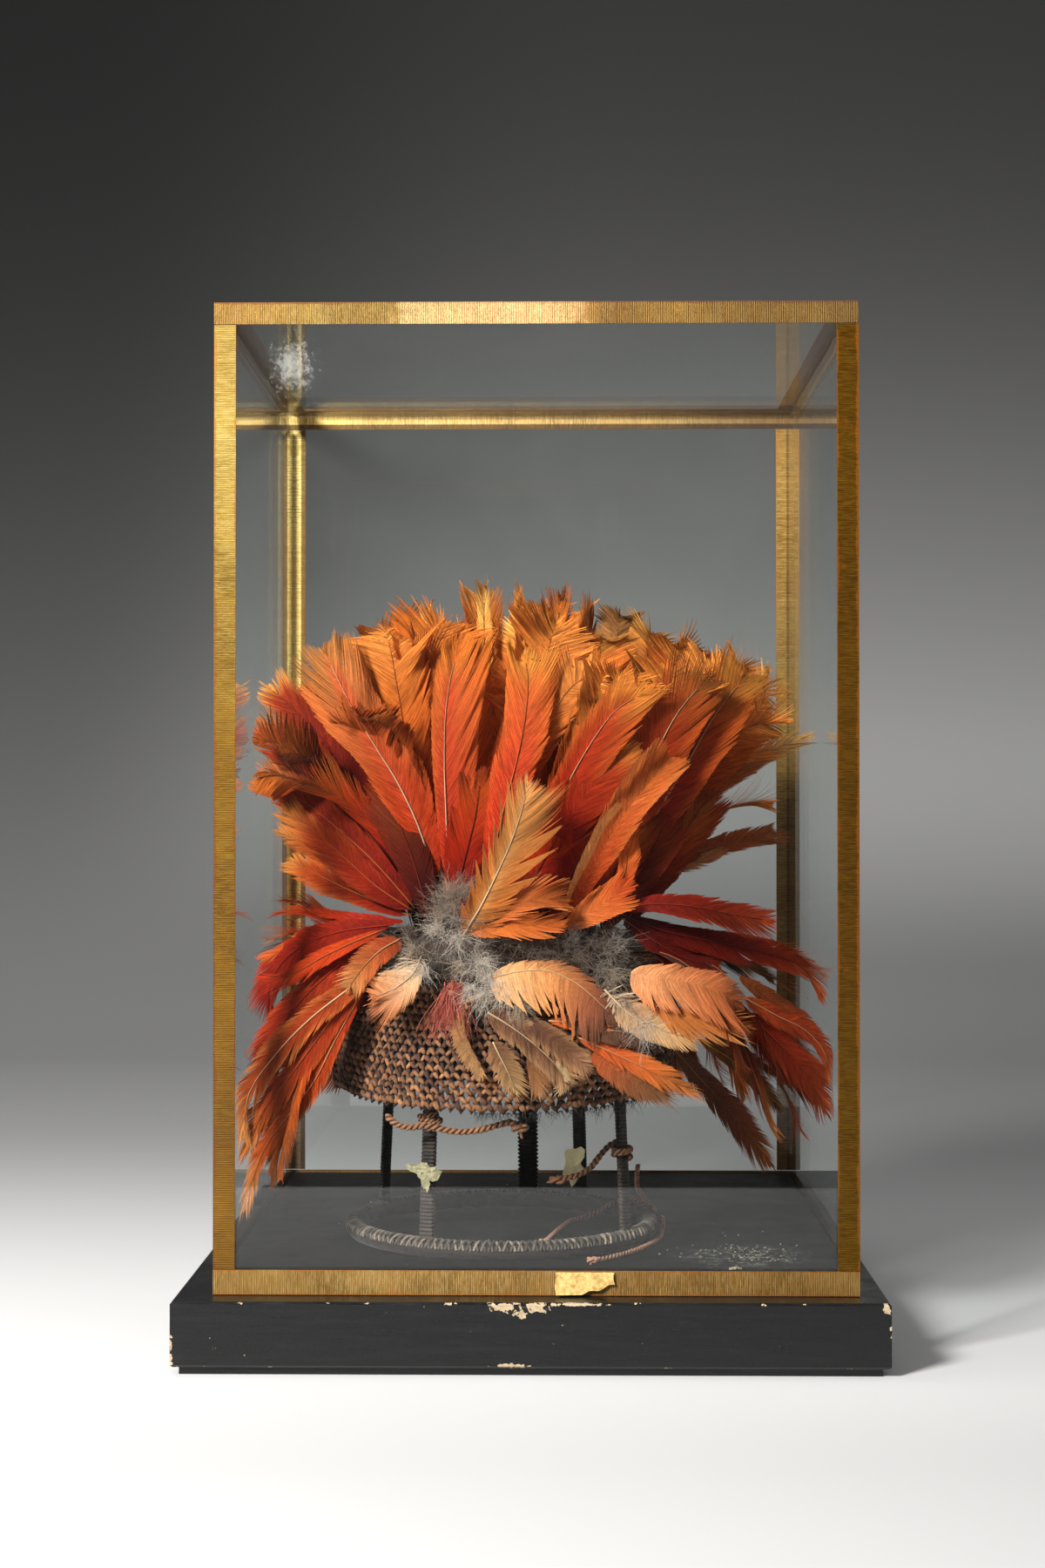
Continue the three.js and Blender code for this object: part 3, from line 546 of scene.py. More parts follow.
# ---------- cords ----------
def two_ply(mesh, line, r, pitch, cols, rng, fuzz=0):
    """Two plies twisted round each other on the line."""
    n = max(24, int(length_of(line) / pitch * 9))
    line = respaced(line, n)
    t, s, w = frames(line)
    a = 2 * math.pi * np.linspace(0, length_of(line) / pitch, n)
    wob = 1 + 0.06 * np.sin(a * 0.37 + 1.0) + 0.05 * rng.standard_normal(n)
    for j in (0, 1):
        ply = line + 0.5 * r * (np.cos(a + j * math.pi)[:, None] * s + np.sin(a + j * math.pi)[:, None] * w)
        tp, sp, wp = frames(ply)
        out = unit(ply - line)
        an = np.arange(7) * 2 * math.pi / 7
        side = np.cos(an)[None, :, None] * sp[:, None, :] + np.sin(an)[None, :, None] * wp[:, None, :]
        # painted shade: each ply is darker on the side that faces the other ply and lighter on its outer side
        lit = 0.14 + 1.06 * np.clip((side * out[:, None, :]).sum(-1) * 0.75 + 0.35, 0, 1) ** 1.8
        shade = (0.85 + 0.3 * rng.random(n))[:, None]
        full = (cols * (lit * shade)[..., None]).reshape(-1, 3)
        mesh.tube(ply, 0.56 * r * wob, 7, full)
    if fuzz:
        i = rng.integers(2, n - 2, fuzz)
        d = unit(rng.standard_normal((fuzz, 3)))
        d = unit(d - t[i] * (d * t[i]).sum(1)[:, None] * 0.6)
        u = np.linspace(0, 1, 4)[None, :, None]
        l = (0.5 + 1.05 * rng.random(fuzz))[:, None, None]
        bend = unit(rng.standard_normal((fuzz, 3)))[:, None, :]
        c = line[i][:, None, :] + d[:, None, :] * (r * 0.7 + l * u) + bend * l * 0.5 * u**2
        h = np.cross(d, bend[:, 0, :])[:, None, :] * 0.07 * (1 - 0.8 * u)
        mesh.ribbons(c, h, np.broadcast_to(cols * 1.1, (fuzz, 4, 3)))
    return line


def knot(name, centre, r, cols, seed, spread=1.0, node=()):
    """A small overhand knot with its cut ends."""
    rng = np.random.default_rng(seed)
    m = Mesh()
    a = np.linspace(0, 2 * math.pi * 1.02, 40)
    k = np.stack([(2 + np.cos(3 * a)) * np.cos(2 * a), (2 + np.cos(3 * a)) * np.sin(2 * a), np.sin(3 * a)], axis=1)
    k = k * np.array([0.72, 0.5, 0.62]) * r * spread + centre
    m.tube(k, 0.62 * r, 7, cols * (0.85 + 0.3 * rng.random(len(k))[:, None]))
    for j in range(2):
        d = unit(rng.standard_normal(3) + np.array([0.4, -0.5, -0.6]))
        end = centre + d[None, :] * np.linspace(0, 3.2 * r, 6)[:, None] + rng.standard_normal((6, 3)) * 0.12 * r
        m.tube(end, np.linspace(0.5, 0.36, 6) * r, 6, cols)
    return m.make(name, CORD, node=node, slot="twisted_cord")


CORDC = srgb("b2836a")
CORDD = srgb("96694a")
RIM = [[-58.5, -72.5, 122.5], [-52.5, -77.0, 118.5], [-45.5, -79.8, 117.5], [-38.0, -80.6, 118.6], [-30.0, -80.0, 116.8],
       [-21.0, -80.2, 115.4], [-11.0, -80.8, 116.2], [-1.5, -81.0, 118.6], [7.0, -81.2, 120.4], [10.5, -81.2, 117.8]]
LEGC = [[62.5, -36.5, 104.5], [57.5, -38.0, 101.8], [52.5, -39.8, 96.5], [48.0, -41.0, 91.0], [42.0, -41.6, 87.4], [35.0, -42.0, 85.6], [30.0, -42.2, 84.6]]
LOOSE = [[73.5, -37.5, 92], [73.2, -30, 85.6], [73.8, -20, 77.6], [77.5, -6, 69.4], [82.4, 6, 62.4], [84.8, 15, 58.8], [82.5, 26, 58.9], [77.5, 34.5, 60.2], [71, 40.5, 61.3],
         [63, 43, 58.6], [55.5, 44, 54.2], [47, 41, 50.8], [38.5, 33, 49.9], [34, 17, 49.9], [30, 0, 49.9], [26.5, -18, 49.9], [23.3, -33.8, 49.9]]
TAIL = [[88.8, 13, 55.6], [88.8, 7, 52], [87.8, -1, 50.2], [86.8, -12, 49.9], [84.2, -24, 49.9], [79.8, -37, 49.9], [72.6, -53, 49.9], [61, -71, 49.9], [48.3, -84.4, 49.9]]


def cord_piece(name, node, points, r, pitch, cols, seed, fuzz):
    rng = np.random.default_rng(seed)
    line = centripetal([rel(*p) for p in points], 12)
    m = Mesh()
    line = two_ply(m, line, r, pitch, cols, rng, fuzz)
    return m.make(name, CORD, node=(node,), slot="twisted_cord"), line


rim_o, rim_l = cord_piece("rim_cord_twist", "rim_cord", RIM, 1.8, 6.4, CORDD, 11, 60)
rim_k = knot("rim_cord_knot", rim_l[-1], 1.9, CORDD, 12)
leg_o, leg_l = cord_piece("leg_cord_twist", "leg_cord", LEGC, 1.7, 6.0, CORDD, 13, 50)
leg_k = knot("leg_cord_knot", leg_l[-1], 1.8, CORDD, 14)
loose_o, loose_l = cord_piece("loose_cord_twist", "loose_cord", LOOSE, 1.3, 5.6, CORDC, 15, 150)
loose_k = knot("loose_cord_knot", loose_l[-1] + np.array([0, 0, 0.5]), 1.3, CORDC, 16)
tail_o, tail_l = cord_piece("tail_cord_twist", "tail_cord", TAIL, 1.3, 5.6, CORDC, 17, 60)
tail_k = knot("tail_cord_knot", tail_l[-1] + np.array([0, 0, 0.6]), 1.3, CORDC, 18)


# ---------- stand ----------
def wrapped_ring():
    m = Mesh()
    n, sides = 360, 16
    f = np.linspace(0, 2 * math.pi, n, endpoint=False)
    p = np.arange(sides) * 2 * math.pi / sides
    F, P = np.meshgrid(f, p, indexing="ij")
    rng = np.random.default_rng(21)
    lump = np.interp(F, np.linspace(0, 2 * math.pi, 61), np.append(rng.random(60), 0))
    r = 4.75 - 0.35 * lump + 0.12 * np.sin(F * 45 + 2 * P)
    R = 81 + r * np.cos(P)
    v = np.stack([AX + R * np.cos(F), AY + R * np.sin(F), 53.6 + r * np.sin(P)], axis=-1)
    i, j = np.meshgrid(np.arange(n), np.arange(sides), indexing="ij")
    q = np.stack([i * sides + j, ((i + 1) % n) * sides + j, ((i + 1) % n) * sides + (j + 1) % sides, i * sides + (j + 1) % sides], axis=-1)
    m.put(v, q, (srgb("2a1e19") * (0.5 + 0.9 * rng.random((n, sides, 1)))).reshape(-1, 3))
    # the plaited stitches along the top edge, as slanted pairs
    count = 140
    for e in range(count):
        f0 = 2 * math.pi * e / count
        for s in (-1, 1):
            u = np.linspace(0, 1, 6)
            ph = math.radians(68) + (u - 0.5) * math.radians(108)
            ff = f0 + s * (u - 0.5) * 0.040 + 0.006 * s
            rr = 4.75 + 0.45 * np.sin(u * math.pi) + (0.22 if s > 0 else 0.0)
            ln = np.stack([AX + (81 + rr * np.cos(ph)) * np.cos(ff), AY + (81 + rr * np.cos(ph)) * np.sin(ff), 53.6 + rr * np.sin(ph)], axis=1)
            # painted shade: the stitches on the back half of the ring are darkened to 0.22
            back_half_shade = 1.0 if math.sin(f0) < -0.1 else 0.22
            m.tube(ln, 0.8, 4, srgb("a29382") * (0.10 + 0.80 * rng.random() ** 2) * back_half_shade, ends=False)
    return m.make("ring_binding", CANE, node=("stand_ring",), slot="wrapped_cane")


wrapped_ring()
LEGS = [("leg_front_left", 242.3, 8.6, "0c0908", "58473d", 1.95, 0.2), ("leg_front_right", 325.3, 8.6, "100b09", "56402e", 1.95, 0.2),
        ("leg_back_right", 57.0, 8.6, "15110f", "2b2320", 1.9, 0.25), ("leg_back_middle", 80.5, 12.4, "100e0e", "26211e", 2.3, 1.25),
        ("leg_back_left", 147.6, 8.2, "15110f", "28211e", 1.9, 0.25)]


def wrapped_leg(name, az, width, dark, light, pitch, tooth, seed):
    rng = np.random.default_rng(seed)
    m = Mesh()
    z0, z1, sides = 58.9, 178.0, 16
    n = int((z1 - z0) / pitch * 6)
    z = np.linspace(z0, z1, n)
    t = (z - z0) / (z1 - z0)
    ca, sa = math.cos(math.radians(az)), math.sin(math.radians(az))
    a = np.arange(sides) * 2 * math.pi / sides
    Z, A = np.meshgrid(z, a, indexing="ij")
    slant = 0.5 * np.cos(A)
    phase = math.pi * (Z - z0) / pitch + slant
    ridge = np.abs(np.sin(phase)) ** 0.6
    jig = np.repeat(rng.random(n // 6 + 1), 6)[:n][:, None] * 0.22
    e = 2 / 3.4
    cx = np.sign(np.cos(A)) * np.abs(np.cos(A)) ** e
    cy = np.sign(np.sin(A)) * np.abs(np.sin(A)) ** e
    thick = 1.45 + 0.38 * ridge - jig * 0.3
    wide = width / 2 - 0.45 - tooth + (0.45 + tooth) * ridge - jig * 0.4
    radial = 81 + (74.6 - 81) * t[:, None] + thick * cx
    side = wide * cy
    v = np.stack([AX + radial * ca - side * sa, AY + radial * sa + side * ca, Z], axis=-1)
    i, j = np.meshgrid(np.arange(n - 1), np.arange(sides), indexing="ij")
    q = np.stack([i * sides + j, i * sides + (j + 1) % sides, (i + 1) * sides + (j + 1) % sides, (i + 1) * sides + j], axis=-1)
    tone = np.repeat(rng.random(n // 6 + 1), 6)[:n][:, None, None]
    # painted shade and highlight: the colour falls to 0.15 of the dark thread in the grooves between turns and is
    # lifted toward the light colour on the crests, by a random amount from turn to turn
    c = srgb(dark) * (0.15 + 0.85 * ridge[..., None]) + np.maximum(srgb(light) - srgb(dark), 0) * ridge[..., None] ** 6 * (0.15 + 0.85 * tone)
    m.put(v, q, c.reshape(-1, 3))
    for k, flip in ((0, False), (n - 1, True)):
        centre = v[k].mean(0)
        vv = np.concatenate([v[k], [centre]])
        caps = [[sides, (b + 1) % sides, b, b] if not flip else [sides, b, (b + 1) % sides, (b + 1) % sides] for b in range(sides)]
        m.put(vv, caps, srgb(dark))
    return m.make(name + "_wrap", CANE, node=(name,), slot="wrapped_cane")


for s, row in enumerate(LEGS):
    wrapped_leg(*row, 30 + s)


def lashing(name, az, z, turns, r, seed, slack=3.0):
    """Turns of fibre cord tied round a leg."""
    rng = np.random.default_rng(seed)
    m = Mesh()
    t = (z - 58.9) / (178 - 58.9)
    radial = 81 - 6.4 * t
    a = np.linspace(0, 2 * math.pi * turns, int(26 * turns))
    ca, sa = math.cos(math.radians(az)), math.sin(math.radians(az))
    x = radial + (2.0 + r) * np.cos(a) * 1.05
    y = (4.7 + r) * np.sin(a)
    h = z + np.linspace(-slack, slack, len(a)) + 0.9 * np.sin(a * 0.5 + seed)
    line = np.stack([AX + x * ca - y * sa, AY + x * sa + y * ca, h], axis=1)
    two_ply(m, line, r, 5.4, CORDD, rng, 30)
    return m.make(name, CORD, slot="twisted_cord")


lashing("lashing_front_left", 242.3, 119.5, 3.2, 1.35, 41, 3.4)
lashing("lashing_front_right", 325.3, 100.5, 2.6, 1.5, 42, 2.8)
lashing("lashing_back_right", 57.0, 121.0, 2.2, 1.3, 43, 2.4)

# ---------- netted cap ----------
PROFILE = np.array([(92, 135.5), (93.3, 150), (91, 166), (85.5, 181), (76.5, 195), (65, 206.5), (52, 216), (36, 223), (18, 226.8), (0, 228.0)])


def cap_tilt(y, z):
    return 0.085 * y * np.clip((228 - z) / 78, 0, 1)


_fine = centripetal([np.array([r, z, 0.0]) for r, z in PROFILE], 16)[:, :2]
_arc = np.concatenate([[0], np.cumsum(np.linalg.norm(np.diff(_fine, axis=0), axis=1))])


def cap_at(s, f, off):
    """A point on the cap: s up the outside from the rim, f round it, off outwards."""
    s = np.asarray(s, float)
    r, z = np.interp(s, _arc, _fine[:, 0]), np.interp(s, _arc, _fine[:, 1])
    r2, z2 = np.interp(s + 0.8, _arc, _fine[:, 0]), np.interp(s + 0.8, _arc, _fine[:, 1])
    r1, z1 = np.interp(s - 0.8, _arc, _fine[:, 0]), np.interp(s - 0.8, _arc, _fine[:, 1])
    d = np.hypot(r2 - r1, z2 - z1) + 1e-9
    nr, nz = (z2 - z1) / d, -(r2 - r1) / d
    down = np.minimum(s, 0)
    rr, zz = r + nr * off, z + nz * off + down
    x, y = rr * np.cos(f), rr * np.sin(f)
    return np.stack([AX + x, AY + y, zz + cap_tilt(y, zz)], axis=-1)


def netting(name, rows, cols_n, steps, sides, seed, node):
    rng = np.random.default_rng(seed)
    m = Mesh()
    pitch = 3.7
    for j in rows:
        s0 = 2.2 + j * pitch
        if s0 > _arc[-1] - 6:
            break
        n = cols_n * steps
        f = np.linspace(0, 2 * math.pi, n + 1)
        ph = f * cols_n + (j % 2) * math.pi
        amp = 2.45 * (1 + 0.10 * np.interp(f, np.linspace(0, 2 * math.pi, 40), np.append(rng.standard_normal(39), 0)))
        jit = 0.35 * np.interp(f, np.linspace(0, 2 * math.pi, 24), np.append(rng.standard_normal(23), 0))
        jit[-1] = jit[0]
        s = s0 + amp * np.cos(ph) + jit
        if j == 0:
            s = s - 1.0 * (np.cos(ph) < 0) * np.abs(np.cos(ph))
        ff = f + 0.30 / cols_n * np.sin(2 * ph)
        off = -1.6 + 0.6 * np.sin(ph) + 0.2 * np.cos(2 * ph)
        line = cap_at(s, ff, off)
        tone = np.interp(f, np.linspace(0, 2 * math.pi, 120), rng.random(120))[:, None]
        # painted light and shade: the cord is lighter where its zigzag stands out from the cap and darker where it dips
        # in
        top = (0.5 + 0.5 * np.sin(ph))[:, None]
        c = srgb("4c3226") * (0.45 + 0.7 * tone) * (0.6 + 0.5 * top)
        t, a, b = frames(line, up=(0, 0, 1))
        m.tube(line, 1.0 + 0.12 * np.sin(ph * 0.5 + j), sides, c, ends=False)
    return m.make(name, NET, node=node, slot="cap_fibre")


netting("cap_netting", range(0, 17), 104, 6, 4, 51, ("netted_cap",))
netting("cap_netting_top", range(17, 40), 46, 5, 4, 52, ())


def shade_sheet():
    """A dark sheet inside the netting that stands in for the shade in the cap: it keeps the holes dark above the open
    rim.
    """
    rng = np.random.default_rng(54)
    m = Mesh()
    n, rows = 96, 12
    f = np.linspace(0, 2 * math.pi, n, endpoint=False)
    v = np.stack([cap_at(np.full(n, 13.0 + 4.6 * j) + (rng.random(n) * 3.0 if j == 0 else 0.0), f, -3.1 + 0.3 * rng.random(n)) for j in range(rows)])
    j, i = np.meshgrid(np.arange(rows - 1), np.arange(n), indexing="ij")
    q = np.stack([j * n + i, j * n + (i + 1) % n, (j + 1) * n + (i + 1) % n, (j + 1) * n + i], axis=-1)
    m.put(v.reshape(-1, 3), q.reshape(-1, 4), (srgb("1c120e") * (0.7 + 0.6 * rng.random((rows * n, 1)))))
    return m.make("cap_netting_shade_sheet", NET, slot="cap_fibre")


shade_sheet()


def stitches(name, rows, cols_n, seed):
    """The fat slanted turns of cord round every hole of the looping."""
    rng = np.random.default_rng(seed)
    m = Mesh()
    ring = 5
    prof = ((-1.0, 0.35), (-0.5, 1.0), (0.45, 0.98), (1.0, 0.3))
    tint = [srgb("8c6244"), srgb("7c543c"), srgb("a07350"), srgb("644232"), srgb("986a42")]
    for j in rows:
        s0 = 2.2 + j * 3.7
        i = np.arange(cols_n)
        ph = 0.0 if j % 2 == 0 else math.pi
        for sgn in (-1, 1):
            f = (i * 2 * math.pi + ph + sgn * math.pi / 2) / cols_n + rng.standard_normal(cols_n) * 0.0025
            ss = s0 + rng.standard_normal(cols_n) * 0.35 - (0.7 if j == 0 else 0.0)
            c0 = cap_at(ss, f, -0.25 + 0.55 * sgn + rng.standard_normal(cols_n) * 0.25)
            lean = sgn * (0.0165 + rng.standard_normal(cols_n) * 0.003)
            up = unit(cap_at(ss - 1.5, f + lean, 0) - cap_at(ss + 1.5, f - lean, 0))
            out = unit(cap_at(ss, f, 1) - cap_at(ss, f, 0))
            side = np.cross(up, out)
            long = 2.35 + rng.uniform(-0.25, 0.45, cols_n)
            fat = (1.16 if j else 1.45) * (1 + rng.uniform(-0.16, 0.2, cols_n))
            an = np.arange(ring) * 2 * math.pi / ring
            v = np.stack([c0[:, None, :] + up[:, None, :] * (w * long)[:, None, None] + (rr * fat)[:, None, None] * (np.cos(an)[None, :, None] * side[:, None, :] + 0.9 * np.sin(an)[None, :, None] * out[:, None, :])
                          for w, rr in prof], axis=1)
            k = len(prof)
            g, h, b = np.meshgrid(i, np.arange(k - 1), np.arange(ring), indexing="ij")
            base = g * k * ring
            q = np.stack([base + h * ring + b, base + h * ring + (b + 1) % ring, base + (h + 1) * ring + (b + 1) % ring, base + (h + 1) * ring + b], axis=-1)
            col = np.array([tint[t] for t in rng.integers(0, 5, cols_n)]) * rng.uniform(0.6, 1.25, (cols_n, 1))
            col = np.where(rng.random((cols_n, 1)) < 0.06, srgb("bc8a5c"), col)
            # painted shade: each turn is darker at its two ends, where it tucks into the net, and lighter in its middle
            lift = np.array([0.45, 1.0, 1.1, 0.5])[None, :, None, None]
            c = np.broadcast_to(col[:, None, None, :] * lift, (cols_n, k, ring, 3))
            m.put(v.reshape(-1, 3), q.reshape(-1, 4), c.reshape(-1, 3))
    return m.make(name, NET, slot="cap_fibre")


stitches("cap_stitches", range(0, 16), 104, 53)


# ---------- feathers ----------
def table(t, rows):
    xs, ys = zip(*rows)
    return np.interp(t, xs, ys)


def ease(lo, hi, v):
    f = np.clip((v - lo) / (hi - lo), 0, 1)
    return f * f * (3 - 2 * f)


FORMS = {
    # half-width of the vane along the quill, and the angle at which a barb leaves the quill
    "broad": ([(0, 0.22), (0.1, 0.5), (0.3, 0.82), (0.6, 1.0), (0.85, 1.06), (1, 0.95)], [(0, 56), (0.3, 38), (0.7, 30), (0.92, 24), (1, 8)]),
    "fan": ([(0, 0.2), (0.2, 0.45), (0.5, 0.7), (0.75, 1.0), (1, 1.35)], [(0, 46), (0.4, 36), (0.7, 44), (0.88, 54), (0.965, 40), (1, 4)]),
    "lance": ([(0, 0.35), (0.15, 0.75), (0.4, 1.0), (0.7, 0.86), (0.9, 0.6), (1, 0.35)], [(0, 44), (0.4, 30), (0.85, 20), (1, 5)]),
    "oval": ([(0, 0.5), (0.12, 0.85), (0.4, 1.0), (0.7, 0.95), (0.9, 0.72), (1, 0.5)], [(0, 78), (0.4, 62), (0.75, 46), (0.93, 26), (1, 5)]),
    "wisp": ([(0, 0.35), (0.25, 0.85), (0.55, 1.0), (0.85, 0.8), (1, 0.6)], [(0, 40), (0.5, 26), (1, 8)]),
}


class Bunch:
    """Feathers that go into one object, each with its own cell of the map."""

    def __init__(self, name, node=(), grid=3, slot="crown_feather", look=None):
        self.name, self.node, self.slot, self.look = name, node, slot, look or PLUME
        self.grid, self.count, self.mesh = grid, 0, Mesh()

    def cell(self):
        g = self.grid
        k = self.count % (g * g)
        self.count += 1
        x, y = k % g, k // g
        e = 0.01 / g
        return x / g + e, y / g + e, (x + 1) / g - e, (y + 1) / g - e

    def done(self):
        return self.mesh.make(self.name, self.look, slot=self.slot, node=self.node, mapped=True)


def drift(rng, t, knots_n):
    """Smooth random values along t, about -1 to 1."""
    return np.interp(t, np.linspace(0, 1, knots_n), rng.standard_normal(knots_n))


def feather(bunch, seed, ctrl, width, cols, face=(0, -1, 0.15), face2=None, form="broad", sides=(1.0, 1.0), angs=(0.0, 0.0), quill="f0d8b8", quill_r=0.7, gap=1.15, splits=0.02,
            fray=0.35, cup=0.1, curl=0.0, edge=None, edge_at=0.35, down=0.0, start=0.03, tipcol=None, tip_from=0.78, k=6, loose=0.0, shade=0.07, quill_to=0.93, over=4.0, wave=0.05, inner=None, comb=0.5):
    """One feather. ctrl: points of the quill from root to tip; width: half the vane's width; cols: colours along it; edge: colour of the barbs' ends."""
    rng = np.random.default_rng(seed)
    line = respaced(centripetal(ctrl, 10), 60)
    total = length_of(line)
    tg = unit(np.gradient(line, axis=0))
    w = np.linspace(0, 1, 60)[:, None]
    fc = np.asarray(face, float)[None, :] * (1 - w) + np.asarray(face2 if face2 is not None else face, float)[None, :] * w
    sd = unit(np.cross(tg, fc))
    nm = np.cross(sd, tg)
    at = np.linspace(0, 1, 60)

    def along(arr, t):
        return np.stack([np.interp(t, at, arr[:, d]) for d in range(3)], axis=-1)

    pal = np.array([srgb(c) if isinstance(c, str) else c for c in cols])
    pos = np.linspace(0, 1, len(pal))
    reach_t, angle_t = FORMS[form]
    x0, y0, x1, y1 = bunch.cell()
    half = (x0 + x1) / 2
    n = max(16, int(total * (1 - start) / gap))
    u = np.linspace(0, 1, k + 1)[None, :]
    for side, cell in ((-1, (x0, y0, half - 0.004, y1)), (1, (half + 0.004, y0, x1 - 0.012, y1))):
        ws = sides[0 if side < 0 else 1]
        if ws <= 0:
            continue
        t = np.clip(np.linspace(start, 0.997, n) + rng.standard_normal(n) * 0.12 / n, 0, 1)
        # locks of barbs that hold together
        ids = np.cumsum(rng.random(n) < splits + (0.12 * fray + 0.1 * loose) * ease(0.6, 0.95, t) + 0.14 * loose)
        m = ids[-1] + 1
        first = np.searchsorted(ids, np.arange(m))
        size = np.bincount(ids, minlength=m)
        inside = (np.arange(n) - first[ids] + 0.5) / size[ids] - 0.5
        late = 0.3 + 0.9 * t
        swing = rng.standard_normal(m)[ids] * (0.8 + 9 * loose + 3.0 * fray * ease(0.7, 1, t)) * late
        lift = rng.standard_normal(m)[ids] * (0.012 + 0.15 * loose + 0.05 * fray * ease(0.7, 1, t))
        tone = (rng.standard_normal(m) * shade * 0.6)[ids]
        ang = table(t, angle_t) + angs[0 if side < 0 else 1]
        hwid = width * ws * table(t, reach_t) * (1 + 0.04 * drift(rng, t, 14) + rng.standard_normal(m)[ids] * 0.08 * loose)
        mean = np.radians(np.clip(ang * 0.82, 9, 85))
        L = hwid / np.sin(mean)
        end = total * (1 - t) + over * (0.9 + 0.5 * drift(rng, t, 9)) + over * 0.16 * rng.standard_normal(n)
        L = np.minimum(L, np.maximum(end, 1.6) / np.maximum(np.cos(mean), 0.2))
        L = L * (1 + rng.standard_normal(n) * (0.012 + 0.05 * fray * t + 0.08 * loose))
        cut = rng.random(n) < 0.12 * fray * t + 0.1 * loose
        L = np.where(cut, L * (0.7 + 0.25 * rng.random(n)), L)
        gather = inside[:, None] * np.minimum(size[ids], 10)[:, None] * (comb + 2.0 * loose + 0.22 * fray * ease(0.7, 1, t)[:, None]) * u
        turn = 0.36 - (0.66 if form == "fan" else 0.0) * ease(0.66, 0.9, t)[:, None]
        th = np.radians((ang[:, None] * (1 - turn * u) + swing[:, None] * u + gather))
        fl = np.zeros((n, 1))
        if down > 0:
            fl = np.clip((down - t) / max(down, 1e-3), 0, 1)[:, None] ** 0.6
            th = th + fl * np.radians(rng.standard_normal((n, 1)) * 26 + rng.standard_normal((n, 1)) * 40 * u)
        step = (L / k)[:, None]
        ca, sa = np.cos(th), np.sin(th)
        a = np.concatenate([np.zeros((n, 1)), np.cumsum(step * 0.5 * (ca[:, 1:] + ca[:, :-1]), axis=1)], axis=1)
        b = np.concatenate([np.zeros((n, 1)), np.cumsum(step * 0.5 * (sa[:, 1:] + sa[:, :-1]), axis=1)], axis=1)
        far = b / max(width * ws, 1e-6)
        Lc = L[:, None]
        c = -cup * width * far**2 + lift[:, None] * Lc * u**2
        c = c + wave * Lc * u**1.4 * drift(rng, t, 9)[:, None] + 0.35 * wave * Lc * u**2 * drift(rng, t, 30)[:, None]
        s_end = t[:, None] + a / total
        c = c + curl * Lc * u**2 * ease(0.6, 1.05, s_end) * (0.7 + 0.9 * drift(rng, t, 11)[:, None])
        if down > 0:
            c = c + fl * Lc * (rng.standard_normal((n, 1)) * 0.5 * u + rng.standard_normal((n, 1)) * 0.3 * u**2)
        T, S, N = (unit(along(arr, t))[:, None, :] for arr in (tg, sd, nm))
        ctr = along(line, t)[:, None, :] + a[..., None] * T + side * b[..., None] * S + c[..., None] * N
        perp = -sa[..., None] * T + side * ca[..., None] * S
        roll = np.radians(4 + rng.standard_normal((n, 1)) * (2 + 8 * loose)) * np.ones_like(u)
        spacing = total * (1 - start) / n
        hw = 0.5 * spacing * np.maximum(np.sin(th), 0.30) * 1.9
        hw = hw * (1 - (0.45 + 0.3 * fray) * ease(0.74 - 0.3 * loose, 1.0, u)) * (1 - 0.3 * loose * u)
        hw = hw * (1 - 0.5 * fray * ease(0.72, 1.0, s_end) * ease(0.25, 0.9, u))
        if down > 0:
            hw = hw * (1 - 0.74 * fl)
        hv = hw[..., None] * (np.cos(roll)[..., None] * perp + np.sin(roll)[..., None] * N)
        col = np.stack([np.interp(s_end.clip(0, 1), pos, pal[:, d]) for d in range(3)], axis=-1)
        if inner is not None:
            ic = srgb(inner) if isinstance(inner, str) else inner
            f = ((1 - ease(0.0, 0.35, far)) * 0.7)[..., None]
            col = col * (1 - f) + ic * f
        if edge is not None:
            e = srgb(edge) if isinstance(edge, str) else edge
            f = (ease(edge_at, 1.05, far) * (0.45 + 0.45 * t[:, None]))[..., None]
            col = col * (1 - f) + e * f
        if tipcol is not None:
            tc = srgb(tipcol) if isinstance(tipcol, str) else tipcol
            f = (ease(tip_from, 1.02, s_end + 0.03 * drift(rng, t, 16)[:, None]) * 0.85)[..., None]
            col = col * (1 - f) + tc * f
        if down > 0:
            f = (fl * (0.35 + 0.65 * u))[..., None]
            col = col * (1 - f) + srgb("cfc6ba") * f
        bright = 1 + tone[:, None] + shade * 0.7 * drift(rng, t, 36)[:, None] + rng.standard_normal((n, 1)) * shade * 0.8
        bright = bright * (0.95 + 0.09 * u) + rng.standard_normal((n, 1)) * 0.34 * ease(0.76, 1.0, s_end) * fray
        col = np.clip(col * np.maximum(bright, 0.35)[..., None], 0, 1)
        bunch.mesh.ribbons(ctr, hv, col, cell)
    if quill:
        m = 16
        ts = np.linspace(0, quill_to, m)
        ql = along(line, ts) + along(nm, ts) * 0.45
        qc = srgb(quill) if isinstance(quill, str) else quill
        colq = np.array([qc * (0.9 - 0.35 * s) for s in ts])
        bunch.mesh.tube(ql, quill_r * 0.68 * (1 - 0.78 * ts), 5, colq, up=(0.2, -1, 0.1), cell=(x1 - 0.010, y0, x1, y1))
    return line


def bezier(a, m, b, n=6):
    t = np.linspace(0, 1, n)[:, None]
    return (1 - t) ** 2 * a + 2 * t * (1 - t) * m + t**2 * b


def ring_dir(az):
    return np.array([math.cos(math.radians(az)), math.sin(math.radians(az)), 0.0])


